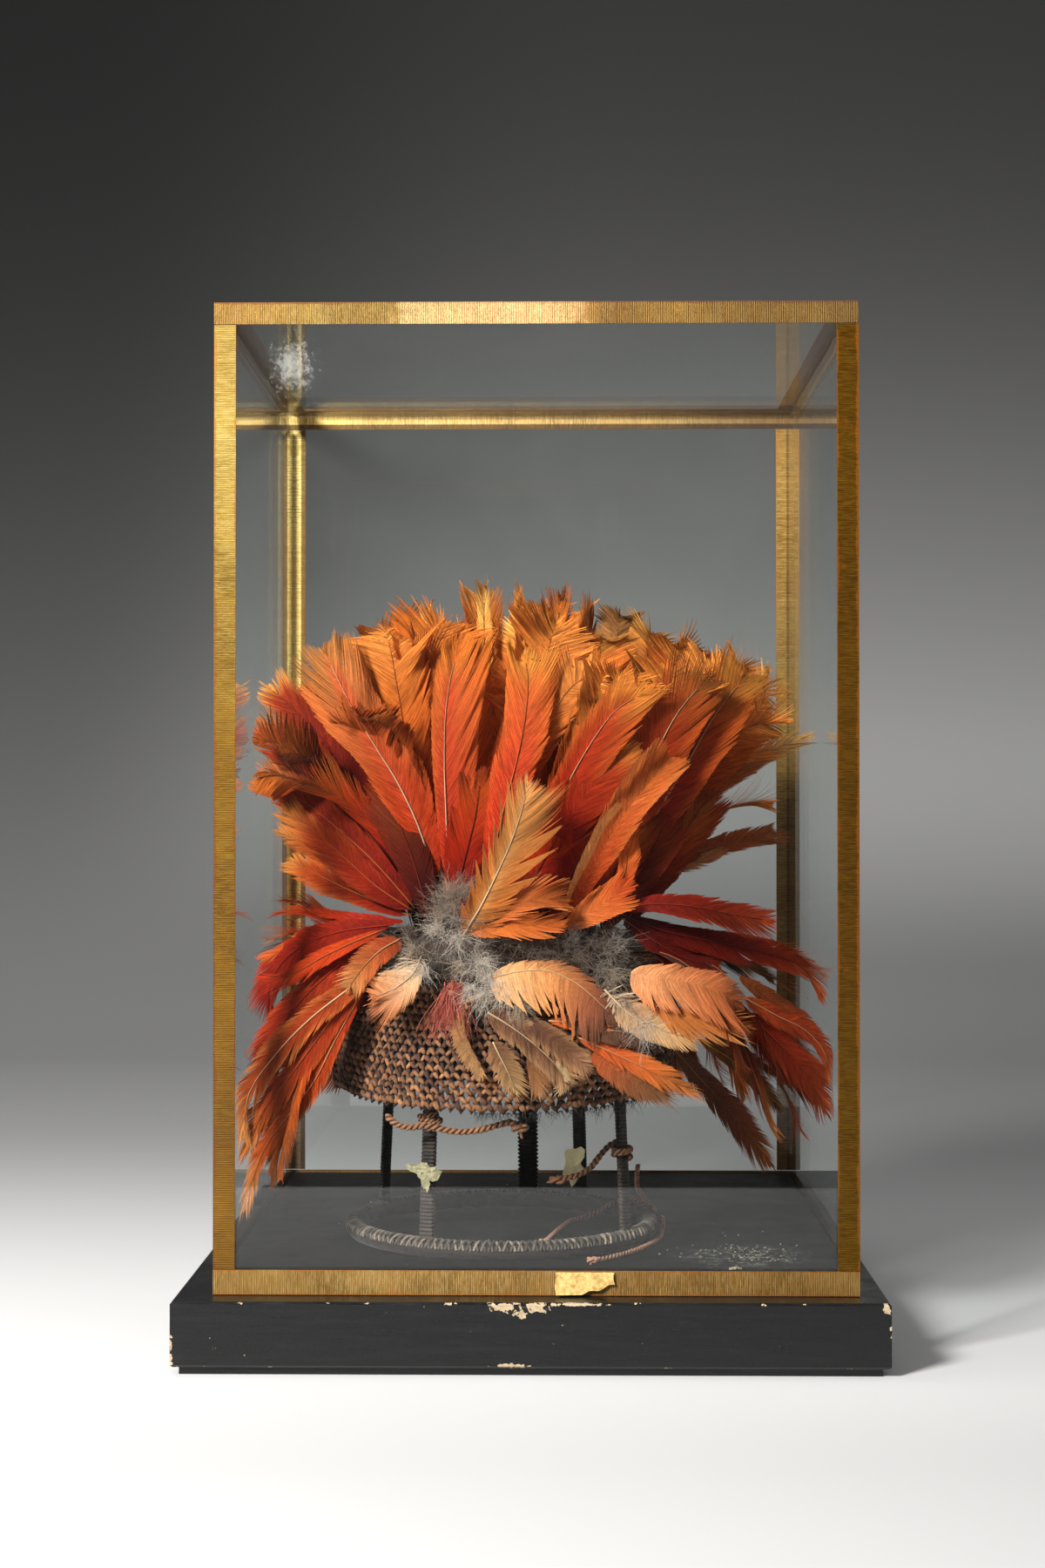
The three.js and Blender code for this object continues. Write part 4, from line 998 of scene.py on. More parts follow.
CROWN = [(204, 199, 128, 322, 0.15, 42), (228, 219, 112, 364, 0.1, 44), (250, 243, 84, 376, 0.08, 35), (276, 279, 78, 370, 0.08, 35), (301, 311, 94, 364, 0.1, 40),
         (322, 335, 122, 356, 0.12, 44), (347, 355, 146, 340, 0.14, 44), (11, 15, 156, 308, 0.16, 40), (36, 35, 118, 366, 0.12, 46), (62, 61, 96, 388, 0.1, 42),
         (91, 92, 92, 396, 0.1, 42), (118, 119, 104, 384, 0.1, 46), (145, 146, 128, 352, 0.12, 44), (174, 172, 134, 318, 0.15, 42)]
SKIRT = [(170, 172, 132, 198, 18, 32), (190, 191, 132, 128, 34, 36), (211, 206, 142, 84, 46, 34), (234, 234, 103, 152, 8, 30), (259, 260, 100.5, 148, 8, 34),
         (284, 285, 101, 150, 8, 34), (308, 311, 108, 146, 10, 32), (331, 336, 168, 122, 40, 34), (353, 356, 172, 176, 26, 34), (30, 30, 150, 128, 36, 38),
         (82, 82, 146, 118, 36, 42), (132, 132, 148, 122, 36, 40)]

# colours along a feather from root to tip
RED = ["4a0a08", "7c1408", "a02408", "b03a10", "b85618"]
CORAL = ["7c180c", "ac3218", "bc461e", "c05c28", "c47038"]
ORANGE = ["6c140a", "a03010", "b84c1a", "c06426", "c47834"]
RUST = ["420a06", "6c1808", "8c3010", "984818", "a06026"]
TAN = ["b87a48", "c48a54", "c8945c", "cca068", "d0aa78"]
DARK = ["2a0a08", "480f08", "5c1c0e", "6c2c14", "78381c"]


def hold(p, top=528.0):
    """Keeps a point inside the glass."""
    p = np.array(p, float)
    p[0] = min(max(p[0], -151.0), 156.0)
    p[1] = min(max(p[1], -155.5), 155.5)
    p[2] = min(max(p[2], 50.5), top)
    return p


def held_line(points):
    return [hold(p) for p in points]


bunches = {}
for i in range(len(CROWN)):
    bunches["c%d" % (i + 1)] = Bunch("crown_feathers_%02d" % (i + 1), ("crown_plume_%02d" % (i + 1),), grid=4)
for i in range(len(SKIRT)):
    pale = 4 <= i + 1 <= 7
    bunches["s%d" % (i + 1)] = Bunch("skirt_feathers_%02d" % (i + 1), ("skirt_plume_%02d" % (i + 1),), grid=4, slot="skirt_feather", look=PALE if pale else PLUME)


def crown_fill(i, count, seed, lean=0.0, high=0.0, pal=None, wide=1.0, mixed=None):
    """Feathers round the centreline of a crown plume."""
    r0, tip, reach, top, bow, width = CROWN[i - 1]
    rng = np.random.default_rng(seed)
    for j in range(count):
        f = (j + 0.5) / count * 2 - 1
        f = f + rng.standard_normal() * 0.12
        ra = r0 + f * 9 + rng.standard_normal() * 2
        ta = tip + f * 14 + rng.standard_normal() * 3
        rr = reach + lean + rng.uniform(-20, 4)
        tt = top + high + rng.uniform(-34, 4)
        root_r = 46 + rng.uniform(-8, 5)
        a = rel(*(ring_dir(ra) * root_r)[:2], 214 + rng.uniform(-6, 6))
        b = rel(*(ring_dir(ta) * (rr - 6))[:2], tt)
        bx = ring_dir(ta)
        m = (a + b) / 2 - bow * bx * rr + np.array([0, 0, bow * (top - 226.5)])
        pts = list(bezier(a, m, b, 5))
        tipd = unit(pts[-1] - pts[-2])
        out = rng.uniform(1, 8)
        pts.append(pts[-1] + tipd * rng.uniform(6, 11) + bx * out)
        pts.append(pts[-1] + tipd * 3 + bx * out * 1.1 - np.array([0, 0, rng.uniform(0, 2)]))
        face = ring_dir((ra + ta) / 2 + rng.standard_normal() * 16) + np.array([0, 0, -0.25])
        p = (mixed or [RED, ORANGE, ORANGE, RUST, CORAL])[rng.integers(0, 5)]
        feather(bunches["c%d" % i], seed * 31 + j, held_line(pts), (13.5 + rng.uniform(-2, 3)) * wide, p, face=face, form=["broad", "fan", "broad", "fan"][rng.integers(0, 4)],
                sides=(rng.uniform(0.7, 1.1), rng.uniform(0.7, 1.1)), quill="c0703c", quill_r=0.55, gap=1.45, k=5, splits=0.025, fray=rng.uniform(0.4, 0.7), cup=rng.uniform(0.05, 0.3),
                curl=rng.uniform(-0.5, 0.7), edge=(["84300e", "742408", "8c3812"] if mixed else ["c8682a", "c05c22", "cc7430"])[rng.integers(0, 3)],
                tipcol=(["b06a2c", "a05820", "8c4a18", "a05820", "8c4a18"] if mixed else ["d08438", "c07028", "a05820", "d89448", "8c4a18"])[rng.integers(0, 5)],
                tip_from=rng.uniform(0.78, 0.88), loose=rng.uniform(0, 0.04), over=rng.uniform(2, 4), wave=0.14)


def skirt_fill(i, count, seed, pal=None, wide=1.0, drop=0.0, form="lance"):
    r0, tip, reach, top, lift, width = SKIRT[i - 1]
    rng = np.random.default_rng(seed)
    for j in range(count):
        f = (j + 0.5) / count * 2 - 1 + rng.standard_normal() * 0.15
        ra = r0 + f * 11 + rng.standard_normal() * 2
        ta = tip + f * 12 + rng.standard_normal() * 3
        rr = reach + rng.uniform(-20, 2)
        tt = top + drop + rng.uniform(-4, 34)
        rd = ring_dir(ra)
        zroot = 203 + float(cap_tilt(rd[1] * 83, 203.0)) + rng.uniform(-5, 5)
        a = rel(*(rd * (80 + rng.uniform(-3, 2)))[:2], zroot)
        b = rel(*(ring_dir(ta) * rr)[:2], tt)
        bd = ring_dir(ta)
        up = lift * rng.uniform(0.7, 1.1)
        m = (a + b) / 2 + bd * up / 3 + np.array([0, 0, up])
        pts = list(bezier(a, m, b, 5))
        pts.append(pts[-1] + unit(pts[-1] - pts[-2]) * 6 + rng.standard_normal(3) * 1.5)
        p = pal or [RED, RUST, ORANGE, RED, DARK][rng.integers(0, 5)]
        face = bd + np.array([0, 0, 1.2]) + rng.standard_normal(3) * 0.25
        feather(bunches["s%d" % i], seed * 37 + j, held_line(pts), (10.5 + rng.uniform(-1.5, 2.5)) * wide, p, face=face, form=form, sides=(rng.uniform(0.75, 1.0), rng.uniform(0.75, 1.0)),
                quill="b86a3c", quill_r=0.5, gap=1.5, k=5, splits=0.03, fray=rng.uniform(0.4, 0.9), cup=rng.uniform(0.1, 0.4), curl=rng.uniform(-0.2, 0.3), edge=["b8501c", "a03c14"][rng.integers(0, 2)],
                tipcol=["b8622a", "a85020", "c8803a"][rng.integers(0, 3)], loose=rng.uniform(0.02, 0.22), down=0.1)


for i, count in [(1, 5), (2, 5), (3, 4), (4, 4), (5, 4), (6, 5), (7, 5), (8, 3), (9, 6), (10, 6), (11, 6), (12, 6), (13, 6), (14, 4)]:
    crown_fill(i, count, 100 + i, lean=-10 if i in (1, 2, 3, 4, 5, 6) else -4, high=-16 if i in (2, 3, 4, 5, 6) else 0, mixed=[RED, DARK, RUST, RED, DARK] if i in (1, 14) else [RED, RUST, CORAL, RUST, RED] if i == 2 else None)
for i, count in [(1, 6), (2, 5), (3, 3), (8, 6), (9, 5), (10, 6), (11, 6), (12, 6)]:
    skirt_fill(i, count, 200 + i, wide=0.7 if i == 3 else 1.0)


def hero(key, seed, pts, width, cols, **kw):
    """A feather placed point by point: each point is px, py and depth from the headdress axis."""
    feather(bunches[key], seed, held_line([spot(*p) for p in pts]), width, cols, **kw)


# crown, front rows
hero("c2", 1001, [(500, 1014, -42), (481, 950, -54), (454, 894, -64), (430, 856, -70), (402, 808, -76), (380, 764, -76), (372, 746, -72)], 17.5, ["b42c10", "bc3c18", "bc441c", "bc5c30", "bc7040", "b07444"],
     face=(-0.1, -1, 0.2), sides=(0.98, 1.0), quill="f3dcc0", quill_r=0.85, gap=0.9, fray=0.6, cup=0.08, edge="cc7238", tipcol="9a6a36", tip_from=0.82, curl=-0.2, over=5, inner="cc5030")
hero("c3", 1002, [(515, 1014, -52), (512, 935, -64), (510, 872, -72), (512, 812, -78), (520, 765, -80), (528, 742, -78)], 23, ["b42c14", "c44024", "c8502c", "cc6434", "cc7838"],
     face=(0.12, -1, 0.2), sides=(0.3, 1.0), quill="eccdae", gap=0.9, fray=0.55, cup=0.05, edge="cf7430", tipcol="cc7c30", tip_from=0.85, over=5, inner="c8442a", wave=0.07, angs=(0, -4))
hero("c3", 1003, [(505, 1008, -42), (484, 930, -52), (468, 860, -60), (456, 790, -66), (446, 736, -64), (441, 722, -58)], 22, ["a82c10", "b84418", "c05c22", "c4702c", "c88440"],
     face=(0, -1, 0.15), form="fan", sides=(0.85, 1.0), quill="d07840", gap=0.95, fray=0.9, cup=0.1, edge="c06c2c", tipcol="cc8038", tip_from=0.82, curl=-0.6, over=5, loose=0.03, wave=0.12)
hero("c3", 1013, [(508, 1004, -38), (498, 920, -46), (490, 850, -54), (492, 780, -58), (504, 726, -54), (510, 714, -50)], 19, ["a02810", "b44418", "bc5a22", "c06c2c", "b87032"],
     face=(0.1, -1, 0.15), form="fan", quill="d07840", gap=0.95, fray=0.9, cup=0.1, edge="c86c28", tipcol="cc7a2e", tip_from=0.86, curl=0.6, over=5, loose=0.03, wave=0.14)
hero("c14", 1004, [(482, 1033, -30), (440, 955, -22), (404, 890, -8), (362, 838, 6), (322, 800, 14), (308, 788, 18)], 11.5, ["500a04", "680c05", "741408", "80200c", "903414"],
     face=(-0.35, -1, 0.35), form="broad", quill="8e2a14", gap=0.95, fray=0.8, cup=0.25, tipcol="dca656", tip_from=0.91, edge="a83c14", over=5)
hero("c14", 1024, [(478, 1030, -34), (425, 960, -30), (380, 905, -20), (335, 862, -8), (296, 838, 2), (280, 830, 6)], 12.5, ["5c0c05", "701007", "7c1c0a", "8a2c0e", "984018"],
     face=(-0.35, -1, 0.4), form="broad", quill="a04420", gap=0.95, fray=0.9, cup=0.25, tipcol="a06c34", tip_from=0.88, edge="842a0c", over=5, loose=0.02)
hero("c1", 1005, [(476, 1042, -42), (432, 992, -40), (392, 955, -34), (345, 918, -24), (305, 898, -16), (292, 896, -12)], 10.5, ["640e06", "781606", "84200a", "8c2c10", "90401a"],
     face=(-0.35, -1, 0.5), form="broad", quill="c06a38", gap=0.95, fray=0.8, cup=0.2, tipcol="b06a2a", edge="8c3410", over=4, loose=0.02)
hero("c1", 1025, [(474, 1046, -44), (430, 1016, -44), (396, 985, -40), (356, 950, -32), (330, 930, -26)], 10, ["680e06", "801a07", "8a240a", "903410", "9c4c1e"],
     face=(-0.3, -1, 0.5), form="lance", quill="b85a2c", gap=0.95, fray=0.7, cup=0.2, tipcol="c07c3a", edge="98401a", over=5)
hero("c1", 1006, [(472, 1052, -42), (428, 1034, -38), (392, 1018, -28), (356, 1000, -14), (332, 988, 4)], 8.5, ["74120a", "8c240c", "983810", "a4541f"],
     face=(-0.2, -1, 0.7), form="lance", quill="c88048", gap=1.0, fray=0.8, cup=0.2, tipcol="cc8c48", edge="c06c2c", loose=0.08, over=5)
hero("c1", 1026, [(470, 1046, -30), (425, 1012, -22), (385, 990, -8), (352, 972, 12), (324, 956, 30)], 6.5, ["74140a", "943012", "a04a1c", "ac6430"],
     face=(-0.2, -1, 0.7), form="lance", quill=None, gap=1.05, fray=0.9, cup=0.2, tipcol="b07a40", loose=0.2, over=6)
hero("c1", 1007, [(465, 1058, -42), (430, 1056, -44), (395, 1052, -48), (362, 1047, -50)], 3.6, ["8a1208", "b02a10", "b83c18"], face=(-0.2, -1, 0.9), form="lance", quill=None, gap=1.0, fray=0.6, loose=0.15)
hero("c4", 1008, [(560, 1010, -60), (578, 930, -70), (594, 870, -76), (604, 815, -78), (606, 775, -76), (600, 745, -70)], 13, ["b02810", "c43c20", "c8482a", "cc6030", "d07c34"], face=(0.1, -1, 0.1),
     form="broad", quill="d07a4a", gap=0.95, fray=0.5, cup=0.12, tipcol="d69a44", edge="cf7030", curl=-0.2)
hero("c4", 1028, [(548, 1000, -50), (572, 905, -58), (600, 830, -64), (622, 770, -66), (634, 728, -62), (640, 714, -58)], 17, ["a02810", "b03f16", "bc5622", "c46c30", "c47c3c"], face=(0.05, -1, 0.15),
     form="fan", quill="d88a48", gap=1.0, fray=0.8, cup=0.1, tipcol="d48a3c", tip_from=0.8, curl=0.7, over=6, loose=0.04, wave=0.14)
hero("c4", 1038, [(570, 1000, -54), (600, 900, -62), (630, 830, -68), (654, 790, -70), (690, 768, -70)], 13, ["a02810", "b4481e", "bc6028", "c07434", "c08040"], face=(0.1, -1, 0.3), form="fan",
     quill="e0a468", gap=0.95, fray=0.8, cup=0.25, tipcol="d8883c", tip_from=0.8, curl=0.7, over=6, loose=0.05, wave=0.16)
hero("c5", 1009, [(602, 1006, -62), (630, 943, -74), (655, 893, -82), (683, 846, -86), (708, 814, -86), (745, 793, -82)], 18, ["9c1a0a", "a8280f", "a02c10", "a44018", "b8682c"], face=(0.25, -1, 0.2), form="broad",
     sides=(0.5, 1.0), quill="ecc49c", gap=0.9, fray=0.6, cup=0.1, tipcol="cf8c3c", edge="c8662a", inner="c43a1e", over=6)
hero("c5", 1029, [(606, 1000, -56), (640, 920, -66), (672, 850, -72), (700, 800, -74), (716, 772, -70)], 17, ["84180a", "982c0e", "a4481a", "b46c2a", "c08840"], face=(0.2, -1, 0.2), form="fan",
     quill="d8924e", gap=1.0, fray=0.8, cup=0.15, tipcol="cc7c30", tip_from=0.84, curl=0.7, over=5, loose=0.04, wave=0.14)
hero("c6", 1010, [(664, 1012, -54), (688, 972, -64), (720, 928, -72), (754, 862, -76), (778, 818, -76), (802, 790, -72), (815, 782, -68)], 17, ["7c1409", "8a1e0a", "8c260c", "943612", "a05a22"],
     face=(0.2, -1, 0.15), sides=(1.0, 1.0), quill="f0d4b4", quill_r=0.85, gap=0.9, fray=0.5, cup=0.06, tipcol="6e441e", tip_from=0.9, edge="b0561e", over=4)
hero("c6", 1030, [(668, 1006, -48), (700, 940, -56), (734, 870, -62), (756, 812, -62), (772, 770, -58)], 18, ["84160a", "a03410", "b4541c", "c07430", "c08a44"], face=(0.15, -1, 0.2), form="fan",
     quill="c8803e", gap=1.0, fray=0.8, cup=0.1, tipcol="bc7028", tip_from=0.84, curl=0.7, over=5, loose=0.04, wave=0.14)
hero("c7", 1011, [(700, 1020, -46), (732, 971, -56), (762, 920, -62), (790, 874, -64), (816, 828, -62), (844, 790, -56), (858, 778, -50)], 16.5, ["701007", "841a0a", "90260c", "9c4016", "ac6024"],
     face=(0.3, -1, 0.1), sides=(0.95, 1.0), quill="ecca9e", quill_r=0.8, gap=0.9, fray=0.6, cup=0.08, tipcol="a87832", tip_from=0.82, edge="b45e22", over=6)
hero("c7", 1012, [(706, 1022, -36), (762, 952, -32), (814, 888, -24), (852, 838, -14), (880, 804, -6)], 14, ["84160a", "a03010", "b05018", "bc6c28"], face=(0.3, -1, 0.1), form="fan",
     quill="c07038", gap=1.0, fray=0.9, cup=0.1, tipcol="b88038", loose=0.08, over=7, wave=0.1)
hero("c8", 1013, [(722, 1012, -20), (744, 980, -14), (786, 932, 0), (835, 892, 14), (885, 862, 24), (926, 846, 32)], 8, ["8a2a10", "a84a1e", "b05c2a", "a8683a", "d0a868"],
     face=(0.2, -1, 0.6), form="lance", quill="d8a070", gap=0.95, fray=0.9, cup=0.2, tipcol="dcb87c", loose=0.22, over=6)
hero("c8", 1014, [(728, 1004, -10), (760, 990, 0), (800, 978, 16), (845, 966, 32), (892, 956, 46)], 7, ["78301a", "8c4424", "98502c", "9c5c32"], face=(0.1, -1, 0.8), form="broad", quill="b87850",
     gap=0.95, fray=0.6, tipcol="7c4a2a", loose=0.06)
hero("c8", 1034, [(724, 1010, -12), (750, 1000, -4), (790, 992, 8), (830, 978, 22)], 4.5, ["a86a48", "b07850", "ac7450"], face=(0.1, -1, 0.8), form="lance", quill=None, gap=1.0, fray=0.6, loose=0.1)
hero("c5", 1015, [(652, 1052, -68), (672, 1012, -76), (694, 972, -82), (716, 936, -84), (744, 900, -82), (768, 872, -78)], 11.0, ["983414", "ac461c", "b85626", "bc642e", "b46028"], face=(0.3, -1, 0.3),
     form="broad", sides=(1.0, 0.9), quill=None, gap=0.9, fray=0.2, curl=0.25, edge="c07840", edge_at=0.55, wave=0.03, splits=0.01, over=3.0, cup=-0.25)
hero("c5", 1019, [(648, 1046, -74), (660, 1016, -81), (676, 984, -85), (692, 952, -87), (712, 924, -87)], 3.4, ["d08850", "dc9c60", "e0a868", "d89858"], face=(0.9, -0.8, 0.3),
     form="lance", sides=(1.0, 1.0), quill=None, gap=0.9, fray=0.1, curl=0.0, edge="e8bc84", edge_at=0.3, wave=0.0, splits=0.0, over=0.5, cup=0.7)
hero("c6", 1016, [(690, 1046, -68), (708, 1024, -74), (718, 998, -78), (720, 972, -78)], 5.5, ["b03410", "c05020", "cc6a30"], face=(0.1, -1, 0.2), form="broad", quill="d08048", gap=0.9, fray=0.3)
hero("c6", 1017, [(646, 1066, -78), (668, 1052, -84), (694, 1036, -84), (716, 1018, -82)], 11, ["bc6434", "c87038", "c86830", "b84c1c"], face=(0.1, -1, 0.4), form="broad", quill=None, gap=0.9, fray=0.4,
     edge="cc7838", splits=0.0)
hero("c5", 1018, [(608, 1010, -64), (640, 960, -74), (668, 920, -80), (700, 880, -82), (720, 850, -80)], 15, ["741208", "84180a", "8c200a", "9a300f", "a84a1c"], face=(0.2, -1, 0.2), form="broad", quill=None,
     gap=1.0, fray=0.5, cup=0.1, tipcol="c07c34", edge="9c3812")
# painted shade: these feathers behind the front row get dark edges, tips and quills so the gaps between the front
# feathers read dark
for s, (key, pts, w, pal) in enumerate([
        ("c5", [(636, 1066, -66), (654, 1010, -70), (678, 958, -74), (706, 908, -74), (726, 878, -70)], 15, RED), ("c6", [(668, 1068, -62), (694, 1022, -66), (718, 972, -70), (738, 926, -70)], 14, RUST),
        ("c4", [(586, 1062, -66), (612, 1010, -70), (640, 960, -74), (662, 916, -76)], 15, RED), ("c6", [(690, 1070, -56), (716, 1030, -62), (742, 986, -62), (764, 944, -62)], 13, DARK),
        ("c3", [(520, 1056, -56), (530, 1000, -60), (545, 940, -64), (552, 890, -66)], 15, RED), ("c4", [(556, 1060, -60), (580, 1000, -64), (600, 950, -68), (612, 905, -70)], 16, CORAL),
        ("c7", [(716, 1062, -48), (750, 1010, -50), (786, 956, -48), (814, 912, -44)], 13, RUST), ("c2", [(492, 1056, -50), (478, 1000, -52), (458, 944, -54), (440, 900, -54)], 14, DARK)]):
    hero(key, 1050 + s, pts, w, pal, face=(0.1, -1, 0.15), form="broad", quill="803020", gap=1.2, fray=0.4, cup=0.15, tipcol="7c2c10", edge="6c1c0a", k=5, wave=0.06)
# tips that stand over the fan at the back
for s, (px, py, d, key, w, form, pal, tc, bx) in enumerate([
        (556, 672, 10, "c12", 5.5, "lance", ["a03010", "c06a24", "d69a44", "e4b868"], "ecc878", 562), (593, 690, 20, "c12", 3, "lance", ORANGE, "c88840", 594),
        (622, 694, 24, "c11", 12, "fan", ORANGE, "b87c3c", 612), (604, 716, 10, "c11", 15, "fan", ORANGE, "dca652", 600), (642, 684, 18, "c11", 11, "lance", ORANGE, "c07434", 628),
        (676, 700, 30, "c11", 8, "lance", RUST, "7c4a24", 650), (710, 704, 34, "c10", 9, "fan", ["8a4a20", "a86a38", "b07c48", "a87c4c"], "70502e", 670), (745, 726, 30, "c10", 14, "fan", RUST, "b08440", 690),
        (778, 738, 26, "c10", 13, "fan", ORANGE, "c88c3c", 700), (812, 752, 24, "c9", 14, "fan", ORANGE, "b87e3a", 715), (850, 760, 22, "c9", 11, "fan", ORANGE, "a8702e", 722),
        (876, 784, 18, "c9", 11, "fan", RUST, "b08844", 726), (490, 704, -10, "c13", 5, "lance", ORANGE, "ecc480", 515), (460, 728, 14, "c13", 15, "fan", ORANGE, "cc9440", 520),
        (424, 742, 12, "c13", 14, "fan", CORAL, "c88a3c", 510), (530, 726, 14, "c12", 14, "fan", RUST, "b07436", 545), (756, 770, -30, "c6", 8, "broad", ["b01a08", "c02a10", "c43414", "c04818"], "c8803a", 690),
        (392, 752, -30, "c2", 12, "fan", CORAL, "b88040", 470), (690, 730, 0, "c10", 14, "fan", ORANGE, "cc9444", 655), (830, 776, -20, "c7", 13, "fan", ORANGE, "c0883e", 715)]):
    hero(key, 1100 + s, [(bx, 1000, d * 0.3), ((bx * 0.6 + px * 0.4), 900, d * 0.6), ((bx * 0.2 + px * 0.8), 800, d * 0.9), (px, py + 10, d), (px + 2, py, d - 5)], w, pal, face=(0.05 * (px - 620) / 50, -1, 0.1),
         form=form, quill="c07c40", gap=1.05, fray=0.75, cup=0.12, tipcol=tc, loose=0.04, over=5 if w > 8 else 4, curl=0.6 * (-1) ** s, wave=0.14, tip_from=0.84)

# lower right
hero("s9", 1201, [(712, 1044, -72), (745, 1038, -78), (790, 1040, -78), (842, 1050, -70), (888, 1058, -62)], 9.5, ["580c06", "6c1408", "701a0a", "74240c", "783014"], face=(0.1, -1, 0.5), form="broad",
     quill="90301a", gap=0.9, fray=0.9, splits=0.09, cup=0.3, edge="983010", tipcol="8a3412", over=3, shade=0.14, comb=1.0)
hero("s9", 1202, [(715, 1050, -68), (760, 1068, -66), (815, 1080, -58), (870, 1092, -46), (920, 1110, -34), (944, 1142, -28)], 8.5, ["480a06", "600f08", "741809", "8a2c10", "94421c"], face=(0.1, -1, 0.5), form="lance",
     quill="80301c", gap=0.95, fray=0.7, cup=0.25, tipcol="a85428", loose=0.08)
hero("s9", 1204, [(714, 1054, -72), (745, 1076, -72), (782, 1098, -66), (826, 1112, -58)], 9, ["420a06", "5c0f08", "681408", "64200f"], face=(0.05, -1, 0.4), form="broad", quill="843424", gap=0.95, fray=0.4, cup=0.2,
     edge="742010")
hero("s9", 1203, [(770, 1080, -56), (812, 1090, -46), (845, 1104, -38), (868, 1112, -32), (884, 1124, -28)], 5, ["8a6040", "9c7450", "a07850", "98744c"], face=(0.0, -1, 0.6), form="lance", quill="b09060", gap=0.95,
     fray=0.7, tipcol="8a6840", loose=0.12)
hero("s7", 1210, [(560, 1124, -98), (597, 1116, -107), (630, 1117, -113), (660, 1130, -114), (685, 1150, -111), (708, 1172, -106)], 25, ["e8c49c", "e4b484", "dca06c", "cc8658", "a8654a", "6a4a3c"],
     face=(0.05, -0.85, 0.6), form="oval", sides=(0.34, 1.0), angs=(-14, 22), quill="f0d8b4", gap=0.8, splits=0.11, fray=0.8, cup=0.12, edge="cf8048", edge_at=0.75, k=9, wave=0.06, comb=2.6)
hero("s7", 1211, [(722, 1116, -94), (752, 1122, -101), (790, 1128, -103), (826, 1138, -98), (850, 1156, -90)], 15, ["d8a078", "d4946a", "cc8458", "c47448", "b8643a"], face=(0.1, -0.9, 0.5), form="oval",
     sides=(0.75, 1.3), quill=None, gap=0.85, fray=0.8, cup=0.2, splits=0.035, comb=1.4, edge="c47850", shade=0.12, wave=0.08)
hero("s7", 1231, [(742, 1150, -98), (780, 1168, -104), (820, 1174, -100), (858, 1178, -92)], 9.5, ["cc8850", "c07840", "b46c38", "a86234"], face=(0.1, -0.9, 0.4), form="lance", quill=None, gap=0.85, fray=0.95, cup=0.2, splits=0.09, comb=1.5,
     edge="d89c60", loose=0.1)
hero("s7", 1212, [(694, 1136, -96), (722, 1164, -105), (756, 1182, -108), (794, 1192, -103)], 11.5, ["a08c7c", "c4a88c", "d0ac88", "d8b890", "d4a878"], face=(0.1, -1, 0.35), form="oval", sides=(1.0, 0.7), quill="efdcc4",
     gap=0.85, fray=0.5, cup=0.15, down=0.22, shade=0.05, edge="e0b490")
hero("s8", 1232, [(846, 1120, -76), (886, 1146, -64), (916, 1168, -54), (940, 1192, -46)], 6, ["8a4c24", "8c4820", "94481e", "a05024"], face=(0.2, -1, 0.4), form="lance", quill=None, gap=0.9, fray=0.7, loose=0.1, tipcol="b8642c")
hero("s8", 1213, [(852, 1144, -78), (892, 1166, -66), (926, 1184, -54), (948, 1212, -46), (956, 1240, -42)], 7.5, ["b85a2c", "b84c1e", "b4441a", "ac481c", "b86028"], face=(0.2, -1, 0.4), form="lance", quill="e8b080",
     quill_r=0.6, gap=0.9, fray=0.9, cup=0.2, tipcol="c0622a", loose=0.2, over=7)
hero("s8", 1233, [(856, 1160, -74), (896, 1200, -62), (928, 1236, -50), (950, 1274, -42)], 10.5, ["84280e", "982c0e", "a03410", "983812", "8a3c18"], face=(0.2, -1, 0.3), form="lance", quill="b04c28", gap=0.9, fray=0.95,
     cup=0.2, tipcol="a04a20", edge="b04818", loose=0.16, over=8)
hero("s8", 1234, [(846, 1150, -70), (872, 1192, -60), (905, 1226, -48), (932, 1262, -42)], 8, ["701e0c", "80240e", "882c10", "8a3818"], face=(0.15, -1, 0.3), form="wisp", quill=None, gap=0.95, fray=0.9, tipcol="984420", loose=0.2)
hero("s8", 1214, [(772, 1202, -54), (804, 1238, -44), (833, 1270, -34), (859, 1303, -28), (882, 1334, -24)], 8.5, ["5c4434", "5a3824", "603420", "6e3a20", "84502a"], face=(0.1, -1, 0.4), form="lance", quill="8a5838",
     gap=0.9, fray=0.9, cup=0.15, tipcol="8a5428", edge="7a3c1e", loose=0.12, over=4)
hero("s8", 1215, [(800, 1192, -62), (840, 1216, -54), (870, 1242, -46), (892, 1270, -40)], 6, ["94693c", "8a5c30", "845428", "8a5c30"], face=(0.1, -1, 0.4), form="wisp", quill="a87c48", gap=0.95, fray=0.9,
     tipcol="7a5228", loose=0.2)
hero("s8", 1235, [(812, 1188, -58), (848, 1206, -50), (872, 1222, -44), (892, 1232, -40)], 4, ["94693c", "80542c", "784c28"], face=(0.1, -1, 0.4), form="wisp", quill=None, gap=0.95, fray=0.9, loose=0.25)
hero("s7", 1216, [(662, 1190, -101), (700, 1208, -106), (738, 1226, -106), (790, 1250, -99)], 7.0, ["c85a2c", "cc6230", "cc6e36", "b87838"], face=(0.0, -1, 0.5), form="lance", sides=(1.0, 0.9), quill="e0a070",
     gap=0.85, fray=0.9, cup=0.2, tipcol="a8622e", edge="c87840", loose=0.2, over=7, splits=0.06, shade=0.12)
hero("s7", 1236, [(680, 1206, -100), (706, 1228, -104), (736, 1246, -103), (764, 1256, -99)], 8, ["b85c34", "a85c38", "8a5a3c", "745038"], face=(0.0, -1, 0.4), form="oval", quill=None, gap=0.85, fray=0.9, loose=0.2, over=5,
     tipcol="7c5a40")
